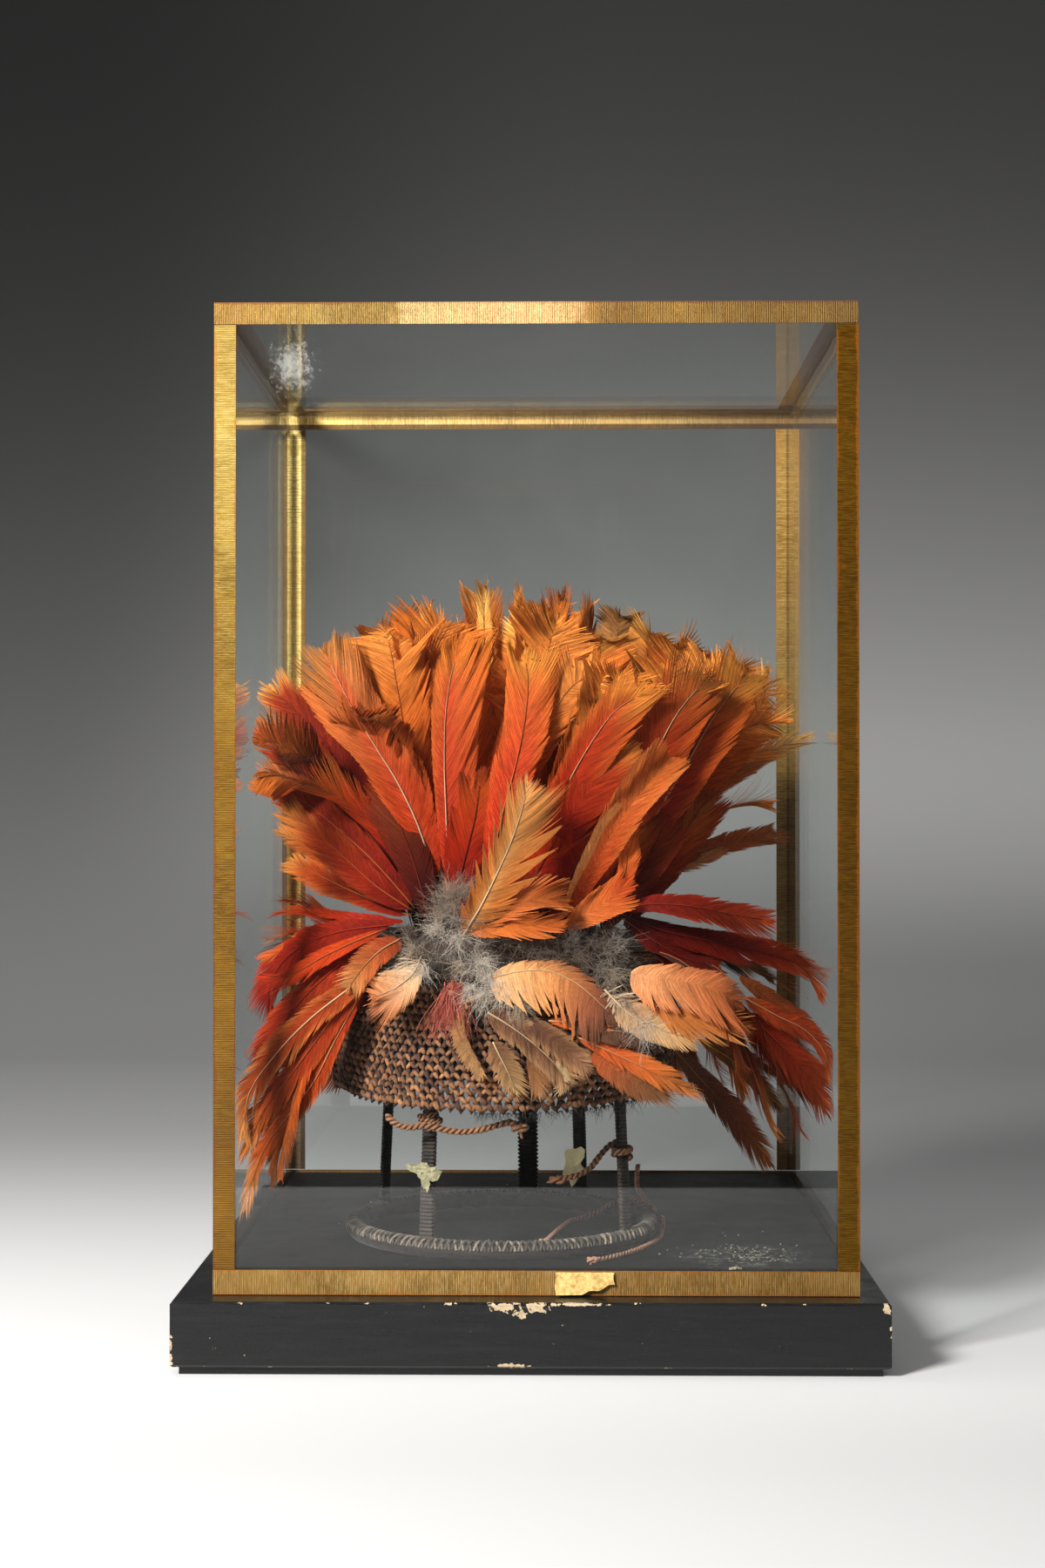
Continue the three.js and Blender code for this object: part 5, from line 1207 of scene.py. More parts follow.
hero("s7", 1217, [(650, 1164, -102), (678, 1178, -107), (704, 1184, -107), (730, 1190, -104)], 7.5, ["80583e", "745040", "6a4a3e", "5c4238"], face=(0.0, -1, 0.45), form="oval", quill="a88468", gap=0.85, fray=0.5)
hero("s6", 1237, [(630, 1172, -103), (662, 1176, -108), (692, 1180, -108)], 5.5, ["c06030", "cc6c38", "cc7844"], face=(0.0, -1, 0.4), form="wisp", quill="e8b488", gap=0.85, fray=0.9, loose=0.3)
hero("s6", 1220, [(560, 1162, -99), (588, 1180, -104), (618, 1204, -107), (640, 1226, -106), (652, 1244, -102)], 9.5, ["6a4a3a", "7a5644", "86604c", "946c54", "b08c6c"], face=(0.05, -1, 0.3), form="oval", sides=(1.0, 0.9),
     quill="e4ccac", gap=0.8, fray=0.9, loose=0.16, edge="cca47c", over=3, comb=1.8, splits=0.07, shade=0.14, inner="6c4c3c")
hero("s6", 1221, [(600, 1172, -98), (626, 1188, -103), (652, 1208, -105), (676, 1226, -104)], 7.5, ["5c4034", "6c4a3a", "7c5844", "94705a"], face=(0.05, -1, 0.3), form="oval", quill=None, gap=0.9,
     fray=0.9, loose=0.22, edge="c09870", over=3, comb=1.8, splits=0.08, shade=0.14)
hero("s5", 1218, [(566, 1196, -102), (574, 1214, -106), (583, 1232, -107), (592, 1254, -105)], 8.5, ["7c5a46", "8c6852", "a0805e", "b89870"], face=(0.0, -1, 0.2), form="oval", sides=(1.0, 0.8), quill="e8d4b0", gap=0.8,
     fray=0.9, loose=0.3, edge="c8a47c", over=4, comb=2.0, splits=0.1, shade=0.12)
hero("s5", 1219, [(606, 1216, -105), (612, 1230, -106), (616, 1244, -106), (618, 1258, -104)], 6.0, ["7a523c", "9a6c4a", "a87c58"], face=(0.0, -1, 0.2), form="wisp", quill=None, gap=0.9, fray=0.9, loose=0.3, over=3, comb=1.6,
     splits=0.12)
hero("s5", 1239, [(532, 1152, -98), (530, 1176, -101), (538, 1204, -103), (556, 1234, -102)], 7.0, ["a47850", "b08660", "b48c66", "b08a64"], face=(0.0, -1, 0.25), form="oval", sides=(0.2, 1.0), angs=(0, 26), quill=None, gap=1.3,
     fray=0.9, loose=0.3, comb=1.0, splits=0.2)
hero("s6", 1238, [(640, 1218, -106), (648, 1228, -107), (652, 1240, -105), (644, 1250, -103)], 3.6, ["c0a484", "d0b896", "d4bc98"], face=(0.3, -1, 0.2), form="oval", quill=None, gap=0.9, fray=0.5, loose=0.1, cup=0.6)
hero("s4", 1222, [(484, 1098, -86), (474, 1118, -94), (454, 1134, -97), (426, 1146, -93)], 13, ["e8ddd0", "e0ccb4", "d8b494", "cc946a", "b8704a"], face=(-0.1, -1, 0.3), form="oval", sides=(0.5, 1.2), angs=(0, 8), quill="f4ecdc", gap=0.8,
     fray=0.95, cup=0.25, down=0.16, edge="cc9870", loose=0.3, k=8, splits=0.1, comb=1.8)
hero("s4", 1223, [(486, 1106, -90), (472, 1128, -96), (454, 1144, -98), (430, 1158, -94)], 7.5, ["e8d8c4", "dcbc9c", "cc9878", "b87450"], face=(-0.1, -1, 0.25), form="wisp", quill=None, gap=0.85, fray=0.9, loose=0.25,
     edge="c47844")
hero("s4", 1240, [(460, 1078, -84), (436, 1092, -90), (416, 1112, -90), (400, 1134, -86)], 9, ["8c3c20", "9c4824", "a86034", "b88050"], face=(-0.2, -1, 0.4), form="oval", quill="d8a880", gap=0.85, fray=0.9, loose=0.32, shade=0.12)
# lower left
hero("s1", 1301, [(452, 1062, -66), (400, 1068, -62), (355, 1082, -54), (322, 1108, -48), (308, 1140, -44), (312, 1166, -42)], 11.5, ["680f06", "801a06", "861c06", "801a0a", "74180a"], face=(-0.3, -1, 0.5), form="broad",
     quill="a82c14", gap=0.9, fray=0.7, splits=0.05, cup=0.35, edge="b03810", over=4)
hero("s2", 1302, [(446, 1074, -70), (404, 1098, -70), (358, 1136, -64), (322, 1180, -58), (302, 1222, -54)], 11, ["741808", "8a240a", "943010", "8a240a", "78200a"], face=(-0.25, -1, 0.4), form="broad",
     quill="b83c18", gap=0.9, fray=0.8, cup=0.3, edge="b8481a", over=4, splits=0.05)
hero("s1", 1315, [(456, 1058, -60), (420, 1054, -54), (392, 1053, -50), (362, 1047, -46)], 3.4, ["7c1408", "9c2410", "a83414"], face=(-0.2, -1, 0.6), form="lance", quill=None, gap=0.95, fray=0.8, loose=0.2)
hero("s1", 1316, [(450, 1062, -62), (410, 1064, -56), (360, 1074, -50), (326, 1090, -44), (302, 1100, -40)], 5.5, ["84180a", "a42c10", "b03c14", "b85a2c"], face=(-0.2, -1, 0.6), form="lance", quill=None, gap=0.95, fray=0.9, loose=0.18,
     splits=0.06, edge="c0683c")
hero("s2", 1303, [(440, 1068, -72), (410, 1080, -74), (372, 1098, -70), (336, 1118, -64), (300, 1122, -58)], 6, ["a0300e", "b03c10", "b43c12", "a83010"], face=(-0.2, -1, 0.6), form="wisp", quill="c06a3c", gap=0.95,
     fray=0.8, loose=0.2)
hero("s3", 1304, [(436, 1106, -82), (402, 1134, -82), (356, 1170, -78), (314, 1214, -72), (285, 1258, -66), (271, 1306, -62)], 8.5, ["a85a30", "963c16", "8c3410", "8a3a14", "8c4c20"], face=(-0.2, -1, 0.35), form="lance",
     quill="ecd0a4", quill_r=0.8, gap=0.9, fray=0.95, cup=0.2, edge="c88440", tipcol="cc9458", loose=0.28, over=9, splits=0.06)
hero("s3", 1314, [(430, 1112, -80), (398, 1148, -80), (362, 1196, -76), (330, 1240, -70), (302, 1276, -64), (284, 1320, -60)], 8.5, ["98401c", "98300e", "94300e", "943c12", "8c481a"], face=(-0.2, -1, 0.3), form="lance",
     quill="c06a38", gap=0.9, fray=0.9, cup=0.25, edge="b85a24", tipcol="b87030", loose=0.2, over=8, splits=0.06)
hero("s3", 1305, [(412, 1146, -80), (384, 1196, -78), (362, 1240, -74), (336, 1274, -68), (304, 1318, -64), (279, 1384, -58)], 6.0, ["9c3014", "a4380e", "a84010", "a84c18", "a8602a"], face=(-0.15, -1, 0.3), form="lance",
     quill="d8a070", quill_r=0.6, gap=0.9, fray=0.9, cup=0.2, tipcol="d09c64", edge="b86830", loose=0.2, over=6, splits=0.06)
hero("s3", 1306, [(404, 1164, -76), (376, 1216, -74), (346, 1262, -70), (322, 1306, -66), (312, 1346, -62)], 4.5, ["8c2a10", "943410", "984018", "944c20"], face=(-0.1, -1, 0.2), form="wisp", quill=None, gap=0.95,
     fray=0.9, tipcol="985a2a", loose=0.18, over=6)
hero("s3", 1307, [(420, 1136, -72), (386, 1176, -70), (350, 1218, -66), (322, 1258, -62), (304, 1296, -60)], 6.5, ["94200a", "9c280c", "a0300e", "a03c14"], face=(-0.15, -1, 0.3), form="lance", quill=None, gap=0.95,
     fray=0.9, tipcol="a85a24", loose=0.22, over=5, splits=0.06)
hero("s2", 1308, [(432, 1086, -62), (388, 1112, -58), (346, 1150, -52), (318, 1196, -48), (304, 1240, -46)], 10, ["6a1008", "7c140a", "7c1408", "70140a"], face=(-0.2, -1, 0.3), form="broad", quill=None, gap=1.0,
     fray=0.5, loose=0.05)
for b in bunches.values():
    b.done()

# the tan feather that stands in the middle of the front
mid = Bunch("centre_feather", slot="crown_feather", look=PALE, grid=2)
feather(mid, 1401, held_line([spot(531, 1076, -80), spot(540, 1060, -88), spot(550, 1044, -94), spot(571, 1002, -102), spot(590, 958, -106), spot(602, 918, -106), spot(606, 900, -104)]), 19,
        ["a85a28", "b06a30", "b8743a", "bc8046", "b8824c"], face=(0.1, -1, 0.12), form="broad", sides=(0.72, 1.0), angs=(4, 10), quill="f4e4cc", quill_r=0.75, gap=0.75, splits=0.05, fray=0.9, cup=0.05,
        edge="b06c34", loose=0.12, shade=0.15, k=8, over=4, inner="cc9a62", comb=1.8, wave=0.1)
feather(mid, 1402, held_line([spot(536, 1074, -82), spot(562, 1052, -92), spot(594, 1036, -98), spot(628, 1032, -98), spot(650, 1038, -94)]), 12, ["bc7240", "bc6c38", "b4622e", "a85826"], face=(0.1, -1, 0.25), form="lance",
        sides=(0.8, 0.9), quill=None, gap=0.75, fray=0.4, splits=0.10, wave=0.08, edge="c8804a", comb=1.6, shade=0.14)
feather(mid, 1403, held_line([spot(540, 1072, -84), spot(566, 1066, -93), spot(600, 1064, -98), spot(644, 1060, -96)]), 7, ["b86430", "bc6a30", "b86228", "b05a28"], face=(0.1, -1, 0.3), form="lance",
        quill=None, gap=0.8, fray=0.4, splits=0.09, wave=0.06, edge="c0703a", comb=1.6, shade=0.14)
mid.done()

# ---------- hair, down and tassel ----------


def strands(mesh, rng, n, roots, dirs, length, bend, half, cols, k=5, wave=0.0):
    u = np.linspace(0, 1, k + 1)[None, :, None]
    l = length[:, None, None]
    b = unit(bend)[:, None, :]
    ctr = roots[:, None, :] + dirs[:, None, :] * l * u + b * l * 0.55 * u**2
    if wave:
        w = unit(np.cross(dirs, bend))[:, None, :]
        ctr = ctr + w * l * wave * np.sin(u * 7 + rng.random((n, 1, 1)) * 6)
    hv = unit(np.cross(dirs, bend))[:, None, :] * half[:, None, None] * (1 - 0.75 * u)
    mesh.ribbons(ctr, hv, cols)


def hair_band():
    rng = np.random.default_rng(61)
    m = Mesh()
    # lumpy felted collar under the strands
    prof = np.array([(63.5, 212.5), (70.5, 214.0), (77.0, 206.0), (80.5, 197.5), (77.6, 196.6), (71.0, 204.5)]) + [0.2, 0]
    n = 150
    f = np.arange(n) * 2 * math.pi / n
    pts = []
    for a in range(6):
        p, q = prof[a], prof[(a + 1) % 6]
        for w in (0.0, 0.5):
            pts.append(p * (1 - w) + q * w)
    pts = np.array(pts)
    c = pts.mean(0)
    k = len(pts)
    lump = rng.random((n, k)) * 1.4
    r = pts[None, :, 0] + (pts[None, :, 0] - c[0]) / 8 * lump
    z = pts[None, :, 1] + (pts[None, :, 1] - c[1]) / 8 * lump
    F = f[:, None]
    x, y = r * np.cos(F), r * np.sin(F)
    v = np.stack([AX + x, AY + y, z + cap_tilt(y, z)], axis=-1)
    i, j = np.meshgrid(np.arange(n), np.arange(k), indexing="ij")
    q = np.stack([i * k + j, i * k + (j + 1) % k, ((i + 1) % n) * k + (j + 1) % k, ((i + 1) % n) * k + j], axis=-1)
    m.put(v, q, srgb("3a2f28") * (0.7 + 0.6 * rng.random((n * k, 1))))
    count = 7000
    f = rng.random(count) * 2 * math.pi
    h = rng.random(count)
    r = 66 + 15 * h + rng.standard_normal(count)
    z = 213.5 - 15.5 * h + rng.standard_normal(count) * 1.5
    rd = np.stack([np.cos(f), np.sin(f), np.zeros(count)], axis=-1)
    tg = np.stack([-np.sin(f), np.cos(f), np.zeros(count)], axis=-1)
    y = r * np.sin(f)
    roots = np.stack([AX + r * np.cos(f), AY + y, z + cap_tilt(y, z)], axis=-1)
    dirs = unit(rd * rng.uniform(0.1, 0.9, (count, 1)) + tg * rng.standard_normal((count, 1)) * 0.9 + np.array([0, 0, 1.0]) * rng.standard_normal((count, 1)) * 0.5)
    bend = unit(np.array([0, 0, -1.0]) + rng.standard_normal((count, 3)) * 0.6)
    pick = rng.random((count, 1))
    cols = np.where(pick < 0.6, srgb("44362c"), np.where(pick < 0.88, srgb("6e5c4c"), srgb("9a8a78"))) * (0.7 + 0.6 * rng.random((count, 1)))
    strands(m, rng, count, roots, dirs, rng.uniform(6, 17, count), bend, rng.uniform(0.10, 0.22, count), np.repeat(cols[:, None, :], 6, axis=1), wave=0.05)
    return m.make("hair_band_strands", HAIR, node=("hair_band",), slot="hair_and_down")


hair_band()


def tuft(mesh, rng, centre, aim, n, size, cols, spread=0.9, flat=0.5):
    aim = unit(np.asarray(aim, float))
    d = unit(aim[None, :] + rng.standard_normal((n, 3)) * spread * np.array([1.0, flat, 1.0]))
    roots = centre + rng.standard_normal((n, 3)) * size * 0.12
    bend = unit(rng.standard_normal((n, 3)) * 0.8 + np.array([0, 0, -0.4]))
    tone = cols * (0.82 + 0.3 * rng.random((n, 1)))
    c = np.repeat(np.clip(tone, 0, 1)[:, None, :], 6, axis=1)
    strands(mesh, rng, n, roots, d, size * rng.uniform(0.55, 1.15, n), bend, rng.uniform(0.07, 0.17, n), c, k=5, wave=0.07)
    # fine side filaments
    mfil = n * 3
    i = rng.integers(0, n, mfil)
    u = rng.uniform(0.15, 0.95, (mfil, 1))
    l = size * 0.8
    base = roots[i] + d[i] * l * u + bend[i] * l * 0.5 * u**2
    dd = unit(d[i] * 0.6 + rng.standard_normal((mfil, 3)))
    cc = np.repeat(np.clip(tone[i] * 1.05, 0, 1)[:, None, :], 3, axis=1)
    strands(mesh, rng, mfil, base, dd, size * rng.uniform(0.12, 0.3, mfil), unit(rng.standard_normal((mfil, 3))), np.full(mfil, 0.06), cc, k=2)


def down_piece():
    rng = np.random.default_rng(71)
    m = Mesh()
    grey, white, warm, dusk = srgb("9a8c7e"), srgb("d8ccbe"), srgb("b8a48e"), srgb("6e5a4a")
    for px, py, d, ax, az, n, size, c in [
            (512, 1046, -78, -0.1, 0.7, 120, 15, grey), (530, 1030, -80, 0.2, 0.9, 110, 15, grey), (505, 1070, -86, -0.4, 0.1, 90, 12, white), (545, 1052, -86, 0.5, 0.5, 100, 13, grey),
            (524, 1078, -92, 0.1, -0.2, 100, 12, white), (548, 1088, -92, 0.5, 0.0, 80, 11, grey), (560, 1120, -98, -0.2, -0.3, 100, 12, white), (578, 1136, -101, 0.1, -0.6, 110, 13, white),
            (556, 1142, -99, -0.5, -0.6, 90, 12, white), (596, 1150, -102, 0.4, -0.7, 90, 12, warm), (540, 1132, -97, -0.6, -0.4, 70, 10, white), (700, 1120, -90, 0.3, -0.6, 100, 15, warm),
            (716, 1150, -96, 0.3, -0.9, 100, 15, grey), (738, 1175, -100, 0.2, -0.7, 100, 14, white), (476, 1090, -88, -0.6, 0.0, 80, 12, warm), (486, 1110, -92, -0.4, -0.6, 70, 11, white),
            (462, 1112, -90, -0.7, -0.4, 70, 11, white), (640, 1110, -92, 0.3, 0.2, 40, 12, dusk), (662, 1096, -90, 0.2, 0.2, 40, 12, dusk), (610, 1094, -92, 0.0, 0.2, 40, 12, dusk),
            (516, 1030, -80, -0.1, 1.0, 110, 15, warm), (524, 1060, -84, 0.0, 0.8, 110, 14, grey), (508, 1054, -82, -0.3, 0.6, 80, 12, warm), (552, 1104, -96, 0.2, -0.2, 110, 13, white),
            (620, 1082, -88, 0.1, 0.4, 80, 12, dusk), (636, 1092, -90, -0.2, 0.3, 80, 12, dusk), (652, 1082, -88, 0.3, 0.4, 80, 12, grey), (668, 1100, -90, 0.1, 0.1, 80, 12, dusk), (684, 1086, -86, 0.2, 0.4, 80, 12, dusk),
            (704, 1080, -80, 0.3, 0.3, 70, 12, grey), (690, 1112, -90, -0.1, 0.0, 70, 11, grey), (600, 1086, -90, 0.2, 0.4, 60, 11, dusk), (628, 1104, -92, 0.0, 0.0, 70, 11, dusk), (474, 1076, -80, -0.2, 0.3, 60, 10, dusk),
            (454, 1082, -76, -0.3, 0.2, 60, 10, dusk), (492, 1092, -86, 0.1, 0.2, 60, 10, dusk),
            (700, 1096, -84, 0.5, 0.2, 70, 16, grey), (468, 1066, -76, -0.3, 0.4, 40, 10, dusk), (584, 1080, -90, 0.3, 0.2, 50, 11, dusk), (528, 1108, -96, 0.0, -0.2, 70, 9, warm)]:
        tuft(m, rng, spot(px, py, d), (ax, -0.55, az), n, size, c)
    # sparser down round the cap, except over the front
    for f in np.arange(0, 360, 13.0):
        if 225 < f < 320:
            continue
        rd = ring_dir(f + rng.uniform(-4, 4))
        z = 200 + float(cap_tilt(rd[1] * 80, 200.0)) + rng.uniform(-4, 6)
        tuft(m, rng, rel(*(rd * 79)[:2], z), rd + np.array([0, 0, -0.4]), 60, 12, [grey, dusk, warm][rng.integers(0, 3)])
    return m.make("down_tufts", DOWN, slot="hair_and_down")


down_piece()


def tassel():
    rng = np.random.default_rng(81)
    m = Mesh()
    n = 170
    top = spot(521, 1132, -98.5)
    roots = top + rng.standard_normal((n, 3)) * np.array([1.7, 0.6, 1.4])
    lean = np.where(rng.random((n, 1)) < 0.45, -0.42, 0.06)
    aim = unit(np.array([0.0, -0.06, -1.0]) + lean * np.array([1.0, 0, 0]) + rng.standard_normal((n, 3)) * np.array([0.13, 0.05, 0.05]))
    bend = unit(rng.standard_normal((n, 3)) * np.array([1, 0.3, 0.2]))
    col = np.where(rng.random((n, 1)) < 0.6, srgb("963c32"), srgb("bc6248")) * (0.7 + 0.6 * rng.random((n, 1)))
    u = np.linspace(0, 1, 6)[None, :, None]
    l = rng.uniform(17, 29, n)[:, None, None]
    ctr = roots[:, None, :] + aim[:, None, :] * l * u + bend[:, None, :] * l * 0.12 * np.sin(u * 3 + rng.random((n, 1, 1)) * 6)
    hv = np.array([1.0, 0.0, 0.0]) * rng.uniform(0.14, 0.26, n)[:, None, None] * (1 - 0.5 * u)
    m.ribbons(ctr, hv, np.repeat(np.clip(col, 0, 1)[:, None, :], 6, axis=1))
    a = np.linspace(0, 2 * math.pi * 3.0, 40)
    bind = top + np.stack([3.6 * np.cos(a), 1.6 * np.sin(a), -2.0 - a * 0.12], axis=1)
    m.tube(bind, 0.7, 6, srgb("9a5a44"))
    return m.make("tassel_threads", HAIR, node=("red_tassel",), slot="tassel_fibre")


tassel()


def rim_hairs():
    """Short dark hairs that hang from under the rim at the front."""
    rng = np.random.default_rng(91)
    m = Mesh()
    n = 420
    f = np.radians(rng.uniform(262, 330, n))
    roots = cap_at(np.full(n, -1.0), f, -2.0 + rng.standard_normal(n) * 0.8)
    d = unit(np.array([0, 0, -1.0]) + rng.standard_normal((n, 3)) * 0.5)
    col = srgb("1c1512") * (0.8 + 0.8 * rng.random((n, 1)))
    strands(m, rng, n, roots, d, rng.uniform(3, 8, n), unit(rng.standard_normal((n, 3))), np.full(n, 0.14), np.repeat(col[:, None, :], 4, axis=1), k=3)
    return m.make("rim_hairs", HAIR, slot="hair_and_down")


rim_hairs()

# ---------- small bits ----------
SCRAP = plain_look("dry_scrap", "7c7456", "b4ac8a", 500, 0.85)
# painted light: this scrap's colour is raised 3.6 times, past what a surface can reflect, so the shaded scrap on the
# back right leg shows bright
SCRAP_PAINTED_LIGHT = plain_look("pale_scrap_painted_light", "d8cc9c", "f4eac4", 500, 0.85, painted_light_gain=3.6)
FLAP = plain_look("torn_tape_back", "ac8640", "dcbe78", 500, 0.75)


def scrap(name, centre, right, up, out, rx, rz, seed, look, t=0.35, n=22, slot="cap_fibre"):
    """A torn flake with an uneven outline and some crumple."""
    rng = np.random.default_rng(seed)
    a = np.arange(n) * 2 * math.pi / n
    rad = 1 + 0.22 * np.sin(a * 2 + seed) + 0.18 * np.sin(a * 5 + 2 * seed) + 0.12 * rng.standard_normal(n)
    m = Mesh()
    rings = [(0.0, 0), (0.45, 1), (0.8, 1), (1.0, 1)]
    v = []
    for sgn in (1, -1):
        for w, _ in rings:
            for k in range(n):
                x, z = rx * w * rad[k] * math.cos(a[k]), rz * w * rad[k] * math.sin(a[k])
                h = 0.5 * math.sin(x * 0.9 + seed) * math.cos(z * 0.7) * min(rx, 4) * 0.25 + sgn * t / 2
                v.append(centre + right * x + up * z + out * h)
    q = []
    k4 = len(rings)
    for s in (0, 1):
        for w in range(k4 - 1):
            for k in range(n):
                o = s * k4 * n
                A, B = o + w * n + k, o + w * n + (k + 1) % n
                C, D = o + (w + 1) * n + (k + 1) % n, o + (w + 1) * n + k
                q.append([A, B, C, D] if s else [A, D, C, B])
    for k in range(n):
        A, B = (k4 - 1) * n + k, (k4 - 1) * n + (k + 1) % n
        q.append([A, A + k4 * n, B + k4 * n, B])
    m.put(np.array(v), q, (0.8, 0.75, 0.6))
    return m.make(name, look, smooth=False, slot=slot)


RX, UP, FR = np.array([1.0, 0, 0]), np.array([0, 0, 1.0]), np.array([0, -1.0, 0])
scrap("leg_scrap_left", spot(488, 1344, -76.5), RX, UP, FR, 7.4, 4.6, 3, SCRAP)
scrap("leg_scrap_left_low", spot(489, 1358, -76.5), RX, UP, FR, 2.6, 3.2, 4, SCRAP)
scrap("leg_scrap_right", spot(659, 1337, 62), RX, UP, FR, 7.2, 9.0, 5, SCRAP_PAINTED_LIGHT)
scrap("floor_scrap_a", spot(540, 1356, 118) * [1, 1, 0] + [0, 0, 49.4], RX, np.array([0, 1.0, 0]), UP, 3.6, 5.0, 6, SCRAP, t=0.8)
scrap("floor_scrap_b", spot(843, 1453, -98) * [1, 1, 0] + [0, 0, 49.0], RX, np.array([0, 1.0, 0]), UP, 2.8, 2.2, 7, SCRAP, t=0.7)


def flap():
    """A strip of the base tape that has come loose and curls forward on to the plinth."""
    rng = np.random.default_rng(95)
    m = Mesh()
    n, k = 20, 9
    v = []
    for s in range(2):
        for i in range(n + 1):
            f = i / n
            x = 12.6 + 29.6 * f
            low = 1.0 - 0.55 * f**1.4 + 0.05 * math.sin(f * 19)
            for j in range(k + 1):
                g = j / k * low
                z = 48.9 - 10.9 * min(g / 0.85, 1.0) - 0.4 * max(0, g - 0.85)
                y = -163.6 - 0.5 - 1.3 * math.sin(g * 2.2) - 5.5 * max(0.0, g - 0.62) ** 1.3 + (0.25 if s else 0.0)
                v.append((x + 0.4 * math.sin(g * 9 + f * 3), y + 0.2 * math.sin(f * 17), z))
    q = []
    st = (n + 1) * (k + 1)
    for s in range(2):
        for i in range(n):
            for j in range(k):
                a = s * st + i * (k + 1) + j
                r = [a, a + 1, a + k + 2, a + k + 1]
                q.append(r if s == 0 else r[::-1])
    m.put(np.array(v), q, (0.8, 0.7, 0.4))
    return m.make("loose_tape_flap", FLAP, slot="gilt_tape")


flap()


def crumbs():
    rng = np.random.default_rng(97)
    m = Mesh()
    for k in range(150):
        if k < 110:
            x, y = 112 + rng.standard_normal() * 16, -112 + rng.standard_normal() * 12
        else:
            x, y = rng.uniform(-140, 140), rng.uniform(-150, 120)
        s = rng.uniform(0.25, 0.8)
        a = rng.uniform(0, 3)
        c = np.array([min(x, 155), max(y, -155), 48.35 + s * 0.4])
        e = np.array([[1, 0, 0], [0, 1, 0], [-1, 0, 0], [0, -1, 0]], float) * s * rng.uniform(0.6, 1.4, (4, 1))
        rot = np.array([[math.cos(a), -math.sin(a), 0], [math.sin(a), math.cos(a), 0], [0, 0, 1]])
        v = np.concatenate([(e @ rot.T) + c, [c + [0, 0, 0.5 * s]], [c - [0, 0, 0.4 * s]]])
        q = [[0, 1, 4, 4], [1, 2, 4, 4], [2, 3, 4, 4], [3, 0, 4, 4], [1, 0, 5, 5], [2, 1, 5, 5], [3, 2, 5, 5], [0, 3, 5, 5]]
        m.put(v, q, srgb("8c8878"))
    return m.make("floor_crumbs", plain_look("grit", "6e6a58", "b4ae98", 900, 0.9), smooth=False, slot="floor_paint")


crumbs()

# ---------- stage ----------


def sweep():
    prof = [(-0.72, 0.0), (-0.4, 0.0), (0.0, 0.0), (0.6, 0.0), (1.3, 0.0)]
    for k in range(1, 17):
        a = k / 16 * math.pi / 2
        prof.append((1.3 + 1.3 * math.sin(a), 1.3 * (1 - math.cos(a))))
    prof.append((2.6, 3.4))
    xs = [-4.5, -1.5, 0, 1.5, 4.5]
    v = [(x, y, z) for y, z in prof for x in xs]
    q = [(i * 5 + j, i * 5 + j + 1, (i + 1) * 5 + j + 1, (i + 1) * 5 + j) for i in range(len(prof) - 1) for j in range(4)]
    me = bpy.data.meshes.new("sweep")
    me.from_pydata(v, [], q)
    for p in me.polygons:
        p.use_smooth = True
    k = Look("studio_sweep")
    x, y, z = k.xyz()
    d = k.math("ADD", y, k.math("MULTIPLY", z, 1.0))
    # painted light and shade: the colour falls from pale on the floor to near black at the top of the wall, and is a
    # little lower near the front, standing in for the light's falloff
    c = k.mix(k.step(d, -0.05, 0.75), (0.62, 0.62, 0.62), (0.36, 0.36, 0.36))
    c = k.mix(k.step(d, -0.15, -0.35), c, k.mix(1.0, c, (0.82, 0.82, 0.82), "MULTIPLY"))
    c = k.mix(k.step(d, 1.0, 4.3), c, (0.038, 0.038, 0.038))
    # painted light: a brighter patch on the right of the wall
    painted_light_pool = k.math("MULTIPLY", k.step(d, 1.75, 2.7), k.step(x, -0.8, 0.15))
    painted_light_pool = k.math("MULTIPLY", painted_light_pool, k.step(d, 3.3, 4.4, 1.0, 0.6))
    c = k.mix(painted_light_pool, c, k.mix(1.0, c, (2.75, 2.75, 2.7), "MULTIPLY"))
    me.materials.append(k.done(k.principled(Base_Color=c, Roughness=0.9)))
    o = bpy.data.objects.new("sweep", me)
    scene.collection.objects.link(o)


sweep()


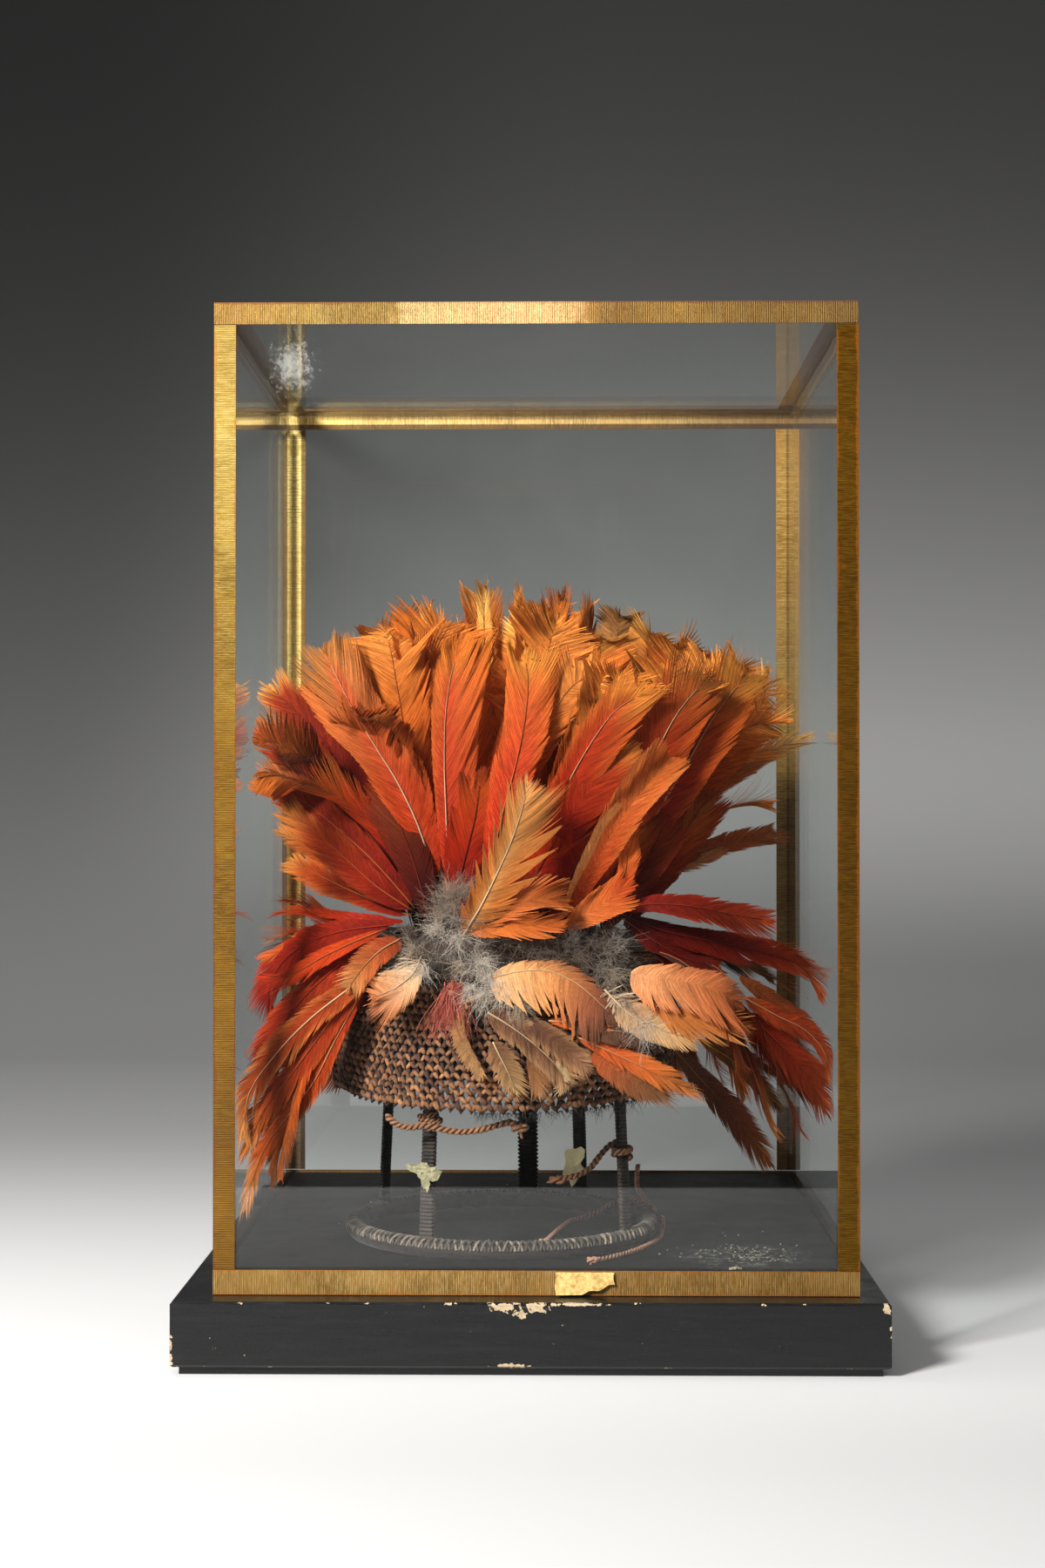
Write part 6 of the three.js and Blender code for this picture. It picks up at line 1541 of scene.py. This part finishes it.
def area(name, at, aim, size, energy, color=(1, 1, 1), size_y=None, glossy=True):
    l = bpy.data.lights.new(name, "AREA")
    l.energy, l.color, l.size = energy, color, size
    if size_y:
        l.shape, l.size_y = "RECTANGLE", size_y
    o = bpy.data.objects.new(name, l)
    o.location = at
    o.rotation_euler = (Vector(aim) - Vector(at)).to_track_quat("-Z", "Y").to_euler()
    o.visible_glossy = glossy
    scene.collection.objects.link(o)


area("key", (-0.86, -1.2, 1.0), (0.02, -0.05, 0.22), 0.36, 56, (1.0, 0.985, 0.96))
area("front_fill", (0.35, -2.1, 1.3), (0, 0, 0.25), 1.2, 4, (1.0, 1.0, 1.0), glossy=False)
area("top", (-0.3, 0.2, 1.9), (0, 0.0, 0.2), 0.8, 4, glossy=False)

world = bpy.data.worlds.new("studio") if not scene.world else scene.world
scene.world = world
world.use_nodes = True
wt = world.node_tree
wt.nodes.clear()
wo, bg = wt.nodes.new("ShaderNodeOutputWorld"), wt.nodes.new("ShaderNodeBackground")
wt.links.new(bg.outputs[0], wo.inputs[0])
# a dark room in front of the table up to its edge, paler above and at the sides
tc, sx = wt.nodes.new("ShaderNodeTexCoord"), wt.nodes.new("ShaderNodeSeparateXYZ")
wt.links.new(tc.outputs["Generated"], sx.inputs[0])
up, fr, mx = wt.nodes.new("ShaderNodeMapRange"), wt.nodes.new("ShaderNodeMapRange"), wt.nodes.new("ShaderNodeMath")
for n, sock, lo, hi in ((up, 2, 0.22, 0.6), (fr, 1, -0.75, -0.1)):
    n.interpolation_type = "SMOOTHSTEP"
    n.inputs["From Min"].default_value, n.inputs["From Max"].default_value = lo, hi
    wt.links.new(sx.outputs[sock], n.inputs["Value"])
mx.operation = "MAXIMUM"
wt.links.new(up.outputs[0], mx.inputs[0])
wt.links.new(fr.outputs[0], mx.inputs[1])
mul = wt.nodes.new("ShaderNodeMath")
mul.operation = "MULTIPLY_ADD"
mul.inputs[1].default_value, mul.inputs[2].default_value = 0.33, 0.006
wt.links.new(mx.outputs[0], mul.inputs[0])
wt.links.new(mul.outputs[0], bg.inputs["Strength"])
bg.inputs["Color"].default_value = (1.0, 1.0, 1.0, 1)
scene.view_settings.view_transform = "Standard"
scene.view_settings.look = "None"
scene.cycles.transparent_max_bounces = 32
scene.cycles.max_bounces = 10
scene.cycles.glossy_bounces = 4
scene.cycles.diffuse_bounces = 3
scene.cycles.transmission_bounces = 6
